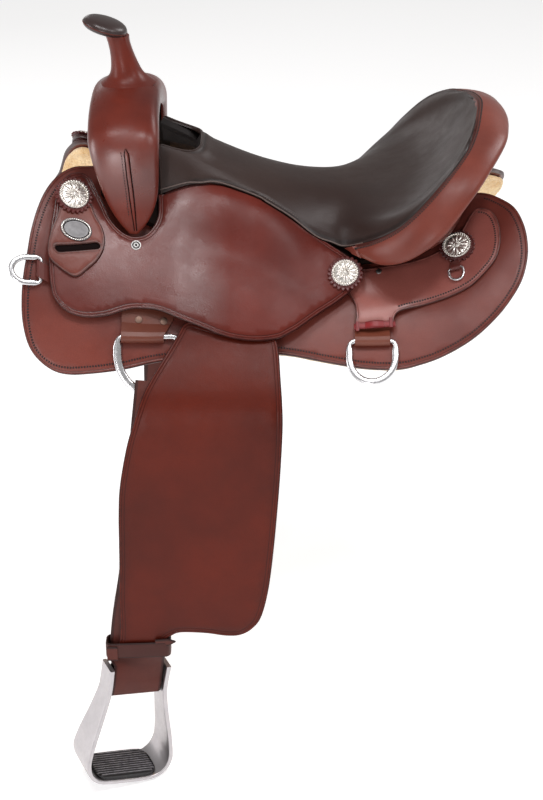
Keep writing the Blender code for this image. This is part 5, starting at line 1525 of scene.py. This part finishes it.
def hang(x, q, off):
    """Points of the hanging leg; q runs down it and off is outward."""
    x, q, off = np.broadcast_arrays(np.asarray(x, float), np.asarray(q, float), np.asarray(off, float))

    def at(w):
        return np.interp(w, _run, _c2[:, 0]), np.interp(w, _run, _c2[:, 1])
    y, z = at(q)
    y1, z1 = at(q + 0.004)
    y0, z0 = at(q - 0.004)
    ln = np.hypot(y1 - y0, z1 - z0)
    ty, tz = (y1 - y0) / ln, (z1 - z0) / ln
    oy, oz = -tz, ty
    sg = np.where(oy < 0, -1.0, 1.0)
    return np.stack([x, -(y + oy * sg * off), z + oz * sg * off], -1)


FENDER_PATTERN = [(-107, 14), (-115, 28), (-130, 55), (-145, 82), (-156, 105), (-167, 138), (-176, 170), (-185, 219),
                  (-188, 258), (-189, 298), (-190, 338), (-192, 378), (-192, 415), (-193, 436), (-194, 449),
                  (-189, 454), (-165, 454.5), (-143, 454), (-138, 450), (-135, 442), (-127, 436), (-115, 431), (-84, 432),
                  (-58, 436), (-40, 435), (-25, 426), (-13, 408), (-4, 369), (2, 318), (7, 258), (11, 199),
                  (13.5, 144), (13, 114), (11, 82), (9, 50), (6, 34), (0, 29), (-12, 27), (-30, 26), (-48, 24), (-66, 19),
                  (-84, 14), (-98, 10)]


def tuck_in(s):
    """How far the fender's top bends in to lie under the jockey."""
    return 0.0056 * (1 - smoothstep((s - 0.008) / 0.075))


def fender_wave(x, s, ed, face):
    return 0.0009 * np.sin(x * 26 + 0.7) * np.sin(s * 15 - 0.4) * smoothstep(s / 0.08)


v, f, at_ = panel(FENDER_PATTERN, lambda x, s: -FENDER_T / 2 - tuck_in(s), lambda x, s: FENDER_T / 2 - tuck_in(s), 0.0085, 0.0034,
                  r=0.0014, grooves=((0.0036, 0.0005, 0.0006), (0.0070, 0.0003, 0.0005)), place=hang, lumps=fender_wave)
a0, a1 = hang(-0.0505, 0.022, 0.0), hang(-0.0505, 0.084, 0.0)
for side in ("near", "off"):
    ob = make("fender_leather_" + side, v, f, FENDER_M, at_, 40, side == "off")
    sg = -1 if side == "off" else 1
    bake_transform(ob)
    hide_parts("fender_" + side)


# ------------------------------------------------------------ stirrup leather, stirrup, tread
def strap_mid(z):
    x = float(np.interp(-z, [0.10, 0.20, 0.47, 0.54], [-0.131, -0.142, -0.1695, -0.1695]))
    ys = float(np.interp(-z, [-r[1] / 1000.0 for r in LEG[1:]], [r[0] / 1000.0 for r in LEG[1:]]))
    return np.array([x, -ys, z])


def strap_section():
    d_bolt, r = 0.0080, 0.0078 + STRAP_T / 2
    pts = []
    for z in (-0.106, -0.115, -0.126, -0.138, -0.150, -0.165, -0.185, -0.22, -0.27, -0.32, -0.37, -0.42, -0.455):
        steep = float(smoothstep((0.165 + z) / 0.05))
        pts.append((FENDER_T / 2 + 0.0011 + STRAP_T / 2 + 0.0034 * steep, z))
    pts += [(0.0048, -0.474), (0.0022, -0.492), (d_bolt - r + 0.0012, -0.510), (d_bolt - r, -0.520)]
    for k in range(1, 8):
        a = math.pi + math.pi * k / 8
        pts.append((d_bolt + r * math.cos(a), BOLT_Z + r * math.sin(a)))
    pts += [(d_bolt + r, -0.520), (d_bolt + r - 0.0012, -0.508), (0.0132, -0.490), (0.0112, -0.470),
            (0.0106, -0.450), (0.0106, -0.41), (0.0106, -0.36), (0.0106, -0.31), (0.0106, -0.27)]
    return pts


TURN_W = np.array([math.cos(TWIST), math.sin(TWIST), 0.0])
S_IN = np.array([-math.sin(TWIST), math.cos(TWIST), 0.0])
STIR = [(39.0, 33, 16), (38.5, 20, 16.5), (38.2, 5, 16.8), (39.5, -10, 17), (45.5, -40, 20.5), (52.5, -70, 25),
        (56.0, -90, 28), (56.5, -101, 29.5), (53.5, -113, 30), (46, -122.5, 30), (35.5, -127.5, 30), (18, -129, 30),
        (0, -129, 30)]
STIR_ALL = [(-a, z, d) for a, z, d in STIR] + [(a, z, d) for a, z, d in reversed(STIR[:-1])]


def neck_and_stirrup(side):
    slant = SLANTS[side]
    flip = side == "off"
    s_w = TURN_W * math.cos(slant) - np.array([0, 0, math.sin(slant)])
    s_up = TURN_W * math.sin(slant) + np.array([0, 0, math.cos(slant)])
    sc = strap_mid(-0.48) + np.array([0.0022 - 0.045 * math.sin(slant), 0, 0]) + S_IN * 0.0080
    sc[2] = BOLT_Z

    def at(w, h, d):
        return sc + (s_w * w + s_up * h + S_IN * d) / 1000.0

    pts, ws = [], []
    for d, z in strap_section():
        plain_ = strap_mid(z) + np.array([0, d, 0])
        turned = at(0, (z - BOLT_Z) * 1000, d * 1000 - 8.0)
        g = float(smoothstep((-0.474 - z) / 0.027))
        pts.append(plain_ * (1 - g) + turned * g)
        w = np.array([1.0, 0, 0]) * (1 - g) + s_w * g
        ws.append(w / np.linalg.norm(w))
    rows = [np.concatenate([p, w]) for p, w in zip(pts, ws)]
    n_f = (len(rows) - 1) * 4
    fine = np.array([spline(rows, (len(rows) - 1) * k / n_f) for k in range(n_f + 1)])
    c, w = fine[:, :3], fine[:, 3:]
    along = frames_along(c)
    across = w - along * (w * along).sum(1)[:, None]
    across /= np.linalg.norm(across, axis=1)[:, None]
    thick = np.cross(along, across)
    h = STRAP_T / 2
    prof_ = [(-1.0, -0.45), (-1.0, 0.45), (-0.985, 0.85), (-0.955, 1.0), (-0.90, 0.93), (-0.88, 1.0), (-0.5, 1.0), (0, 1.0),
             (0.5, 1.0), (0.88, 1.0), (0.90, 0.93), (0.955, 1.0), (0.985, 0.85), (1.0, 0.45), (1.0, -0.45), (0.985, -0.85),
             (0.955, -1.0), (0.90, -0.93), (0.88, -1.0), (0.5, -1.0), (0, -1.0), (-0.5, -1.0), (-0.88, -1.0), (-0.90, -0.93),
             (-0.955, -1.0), (-0.985, -0.85)]
    stack_, eds_, crs_ = [], [], []
    for i in range(len(c)):
        full = float(smoothstep((-0.34 - c[i][2]) / 0.10)) * (1 - float(smoothstep((-0.482 - c[i][2]) / 0.012)))
        half = 0.0328 + 0.0024 * full + 0.0014 * float(smoothstep((-0.490 - c[i][2]) / 0.02))
        c[i] = c[i] - across[i] * (0.0024 * full)
        stack_.append(np.array([c[i] + across[i] * (half * q) + thick[i] * (h * k) for q, k in prof_]))
        eds_ += [(1 - abs(q)) * half for q, k in prof_]
        # the crease lines are darkened, partly as painted shade
        crs_ += [0.8 if abs(abs(q) - 0.90) < 1e-6 else 0.0 for q, k in prof_]
    v, f = rings(stack_)
    ob = make("stirrup_leather_strap_" + side, v, outward(v, f), STRAP_M, {"ed": eds_, "crease_and_shade": crs_}, 50, flip)
    put(ob, "fender_leg_" + side, ["stirrup_leather_" + side])

    fine = np.array([spline(STIR_ALL, (len(STIR_ALL) - 1) * k / 144.0) for k in range(145)])
    t = np.gradient(fine[:, :2], axis=0)
    t /= np.linalg.norm(t, axis=1)[:, None]
    nn_ = np.stack([-t[:, 1], t[:, 0]], 1)
    stack_ = []
    prof2 = []
    for k in range(28):
        a = 2 * math.pi * (k + 0.5) / 28
        cc, ss = math.cos(a), math.sin(a)
        prof2.append((math.copysign(abs(cc) ** 0.13, cc), math.copysign(abs(ss) ** 0.36, ss)))
    for i in range(145):
        a, z, d = fine[i]
        up_ = 1.0
        stack_.append(np.array([at(a + nn_[i][0] * (st * 3.1), z + nn_[i][1] * (st * 3.1), sd_ * d) for sd_, st in prof2]))
    v, f = rings(stack_)
    ob = make("stirrup_bow_" + side, v, outward(v, f), ALU_M, None, 50, flip)
    put(ob, "stirrup_assembly_" + side, ["stirrup_" + side])

    # tread pad: ribs run along it
    n_rib = 11
    ww_ = [-42, -41.2, -39.8, -37.5, -34, -28, -14, 0, 14, 28, 34, 37.5, 39.8, 41.2, 42]
    dd_ = [15, 17.5, 21, 24, 26.2, 27.2, 27.5, 27.5, 27.5, 27.2, 26.2, 24, 21, 17.5, 15]
    fw = np.linspace(-42, 42, 57)
    fd_ = np.interp(fw, ww_, dd_)
    stack_, shine = [], []
    for ww, dd in zip(fw, fd_):
        z0 = -125.8 + 5.4 * float(smoothstep((abs(ww) - 29) / 14))
        sag = 0.9 * float(smoothstep((abs(ww) - 37) / 5))
        ring, sh = [at(ww, z0, -dd), at(ww, z0, dd), at(ww, -120.6 - sag, dd)], [0, 0, 0]
        for r_ in range(n_rib):
            mid = 25.6 * (1 - 2 * (r_ + 0.5) / n_rib)
            for off_, hi_, s_ in ((1.25, 0.0, 0), (0.75, 1.25, 0.4), (0.0, 1.55, 1.0), (-0.75, 1.25, 0.4), (-1.25, 0.0, 0)):
                q = mid + off_
                q = math.copysign(min(abs(q), dd * 0.985), q)
                low = 1.0 if abs(mid) < dd * 0.93 else 0.0
                ring.append(at(ww, -120.15 + hi_ * low - sag, q))
                # the rib tops carry the painted highlight
                sh.append(s_ * low * (0.0 if abs(ww) > 39 else 1.0))
        ring.append(at(ww, -120.6 - sag, -dd))
        sh.append(0)
        stack_.append(np.array(ring))
        shine += sh
    v, f = rings(stack_)
    ob = make("tread_ribs_" + side, v, outward(v, f), RUBBER_M, {"wear_and_sheen": shine}, 30, flip)
    put(ob, "stirrup_assembly_" + side, ["stirrup_tread_" + side])


neck_and_stirrup("near")
neck_and_stirrup("off")

# hobble strap round the neck, with its pointed end
zc, hh, th = -0.4650, 0.0110, 0.0030
mm_ = strap_mid(zc)
cx = -0.1685
hx0, hx1 = cx - 0.0400, cx + 0.0372
hy0, hy1 = mm_[1] - 0.0042, mm_[1] + 0.0152


def rounded(x0, x1, y0, y1, r, k=8):
    out = []
    for cx_, cy_, a0_ in ((x1 - r, y1 - r, 0), (x0 + r, y1 - r, 90), (x0 + r, y0 + r, 180), (x1 - r, y0 + r, 270)):
        for j in range(k + 1):
            a = math.radians(a0_ + 90 * j / k)
            out.append((cx_ + r * math.cos(a), cy_ + r * math.sin(a)))
    return resample(np.array(out), 0.002)


mid_l = rounded(hx0 - th / 2, hx1 + th / 2, hy0 - th / 2, hy1 + th / 2, 0.0060)
tt = np.roll(mid_l, -1, axis=0) - np.roll(mid_l, 1, axis=0)
tt /= np.linalg.norm(tt, axis=1)[:, None]
on = np.stack([tt[:, 1], -tt[:, 0]], 1)
stack, eds = [], []
prof = [(0.5, -0.8), (0.5, 0.8), (0.42, 0.94), (0.15, 1.0), (-0.15, 1.0), (-0.42, 0.94), (-0.5, 0.8), (-0.5, -0.8), (-0.42, -0.94),
        (-0.15, -1.0), (0.15, -1.0), (0.42, -0.94)]
for p, o_ in zip(mid_l, on):
    dz = 0.004 * (p[0] - cx) / 0.0385 * 0.35
    stack.append(np.array([(p[0] + o_[0] * q * th, p[1] + o_[1] * q * th, zc + dz + k * hh) for q, k in prof]))
    eds += [(1 - abs(k)) * hh for q, k in prof]
v, f = rings(stack, True)
both("hobble_leather", (v, outward(v, f), {"ed": eds}), STRAP_M, "fender_leg", "hobble_strap", angle=50)
tip_x = np.linspace(hx1 - 0.016, hx1 + 0.0095, 16)
tip = np.stack([tip_x, np.full(16, hy0 - 0.0005), zc + 0.0125 + (tip_x - hx1) * 0.10], 1)
half_t = 0.0052 * np.clip((hx1 + 0.0103 - tip_x) / 0.010, 0.06, 1.0)
both("hobble_tip", strip(tip, np.tile([0, -1.0, 0], (16, 1)), half_t, 0.0022, r=0.0004), STRAP_M, "fender_leg", None)
lap = np.stack([np.linspace(hx0 - 0.0008, hx0 + 0.0125, 14), np.full(14, hy0 - th - 0.0001), np.full(14, zc - 0.004)], 1)
both("hobble_lap", strip(lap, np.tile([0, -1.0, 0], (14, 1)), 0.0104, 0.0018, r=0.0005), STRAP_M, "fender_leg", None)

# ------------------------------------------------------------ CAD nodes that stay as they are
# the tree's parts take the near-black painted-shade colour; the foam pad and strainer take the painted-shade lining
for n, mat in (("tree_bar", TREE_SHADE_M), ("stirrup_bolt", RUST_BOLT), ("stirrup_hanger", TAB_M)):
    for side in ("near", "off"):
        NODES[n + "_" + side].data.materials.clear()
        NODES[n + "_" + side].data.materials.append(mat)
for n, mat in (("tree_fork", TREE_SHADE_M), ("tree_cantle", TREE_SHADE_M), ("cantle_back", BACK_M), ("seat_foam_pad", SHADE_LINING_M),
               ("ground_seat_strainer", SHADE_LINING_M)):
    NODES[n].data.materials.clear()
    NODES[n].data.materials.append(mat)

# ------------------------------------------------------------ floor, light, camera
floor_m = Tree("floor_paper")
FLOOR = floor_m.set(Base_Color=(0.80, 0.80, 0.80, 1), Roughness=0.95, Specular_IOR_Level=0.1,
                    Emission_Color=(1, 1, 1, 1), Emission_Strength=0.50)
zf = float(SIZE["cad"][0][2]) - 0.004
me = bpy.data.meshes.new("floor")
me.from_pydata([(-14, -14, zf), (14, -14, zf), (14, 14, zf), (-14, 14, zf)], [], [(0, 1, 2, 3)])
me.materials.append(FLOOR)
floor = bpy.data.objects.new("floor", me)
bpy.context.scene.collection.objects.link(floor)
floor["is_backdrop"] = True

world = bpy.data.worlds.new("studio")
world.use_nodes = True
world.node_tree.nodes["Background"].inputs["Color"].default_value = (1.0, 0.985, 0.97, 1)
world.node_tree.nodes["Background"].inputs["Strength"].default_value = 0.33
bpy.context.scene.world = world


def softbox(name, az, el, dist, size, radiance, colour=(1.0, 0.98, 0.99)):
    """Soft light seen from the saddle at azimuth az (0 is the near side, towards the cantle) and elevation el."""
    d = bpy.data.lights.new(name, "AREA")
    d.shape, d.size, d.size_y, d.color = "RECTANGLE", size[0], size[1], colour
    d.energy = radiance * math.pi * size[0] * size[1]
    a_, e_ = math.radians(az), math.radians(el)
    way = Vector((math.sin(a_) * math.cos(e_), -math.cos(a_) * math.cos(e_), math.sin(e_)))
    o = bpy.data.objects.new(name, d)
    o.location = Vector((0, 0, -0.05)) + way * dist
    o.rotation_mode = "QUATERNION"
    o.rotation_quaternion = way.to_track_quat("Z", "Y")
    o.visible_camera = False
    bpy.context.scene.collection.objects.link(o)
    return o


softbox("over_front", 24, 61, 3.0, (0.48, 0.32), 46)
softbox("low_left", -15, 6, 3.2, (0.24, 0.5), 44)
softbox("left_card", -80, 8, 3.2, (1.2, 1.6), 5.2)
softbox("front_fill", -4, 50, 3.1, (1.5, 0.6), 2.2)
softbox("right", 62, 42, 3.0, (0.5, 0.7), 13)
softbox("over_left", -33, 68, 3.0, (0.8, 0.7), 14)
softbox("back_right", 122, 34, 3.2, (0.9, 0.8), 11)
softbox("back_left", -160, 14, 3.2, (0.8, 0.8), 1.7)

cam_d = bpy.data.cameras.new("photo_camera")
cam_d.sensor_fit, cam_d.sensor_height, cam_d.sensor_width, cam_d.lens = "VERTICAL", 36.0, 36.0, 83.7
cam = bpy.data.objects.new("photo_camera", cam_d)
e27 = math.radians(27.0)
back = Vector((0, -math.cos(e27), math.sin(e27)))
cam.location = Vector((0, 0, -0.24)) + back * 2.5
cam.rotation_mode = "QUATERNION"
cam.rotation_quaternion = (-back).to_track_quat("-Z", "Y")
cam_d.clip_start, cam_d.clip_end = 0.05, 100
bpy.context.scene.collection.objects.link(cam)
bpy.context.scene.camera = cam
bpy.context.scene.view_settings.view_transform = "Standard"

lo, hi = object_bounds()
SIZE["shown"] = [list(lo), list(hi)]
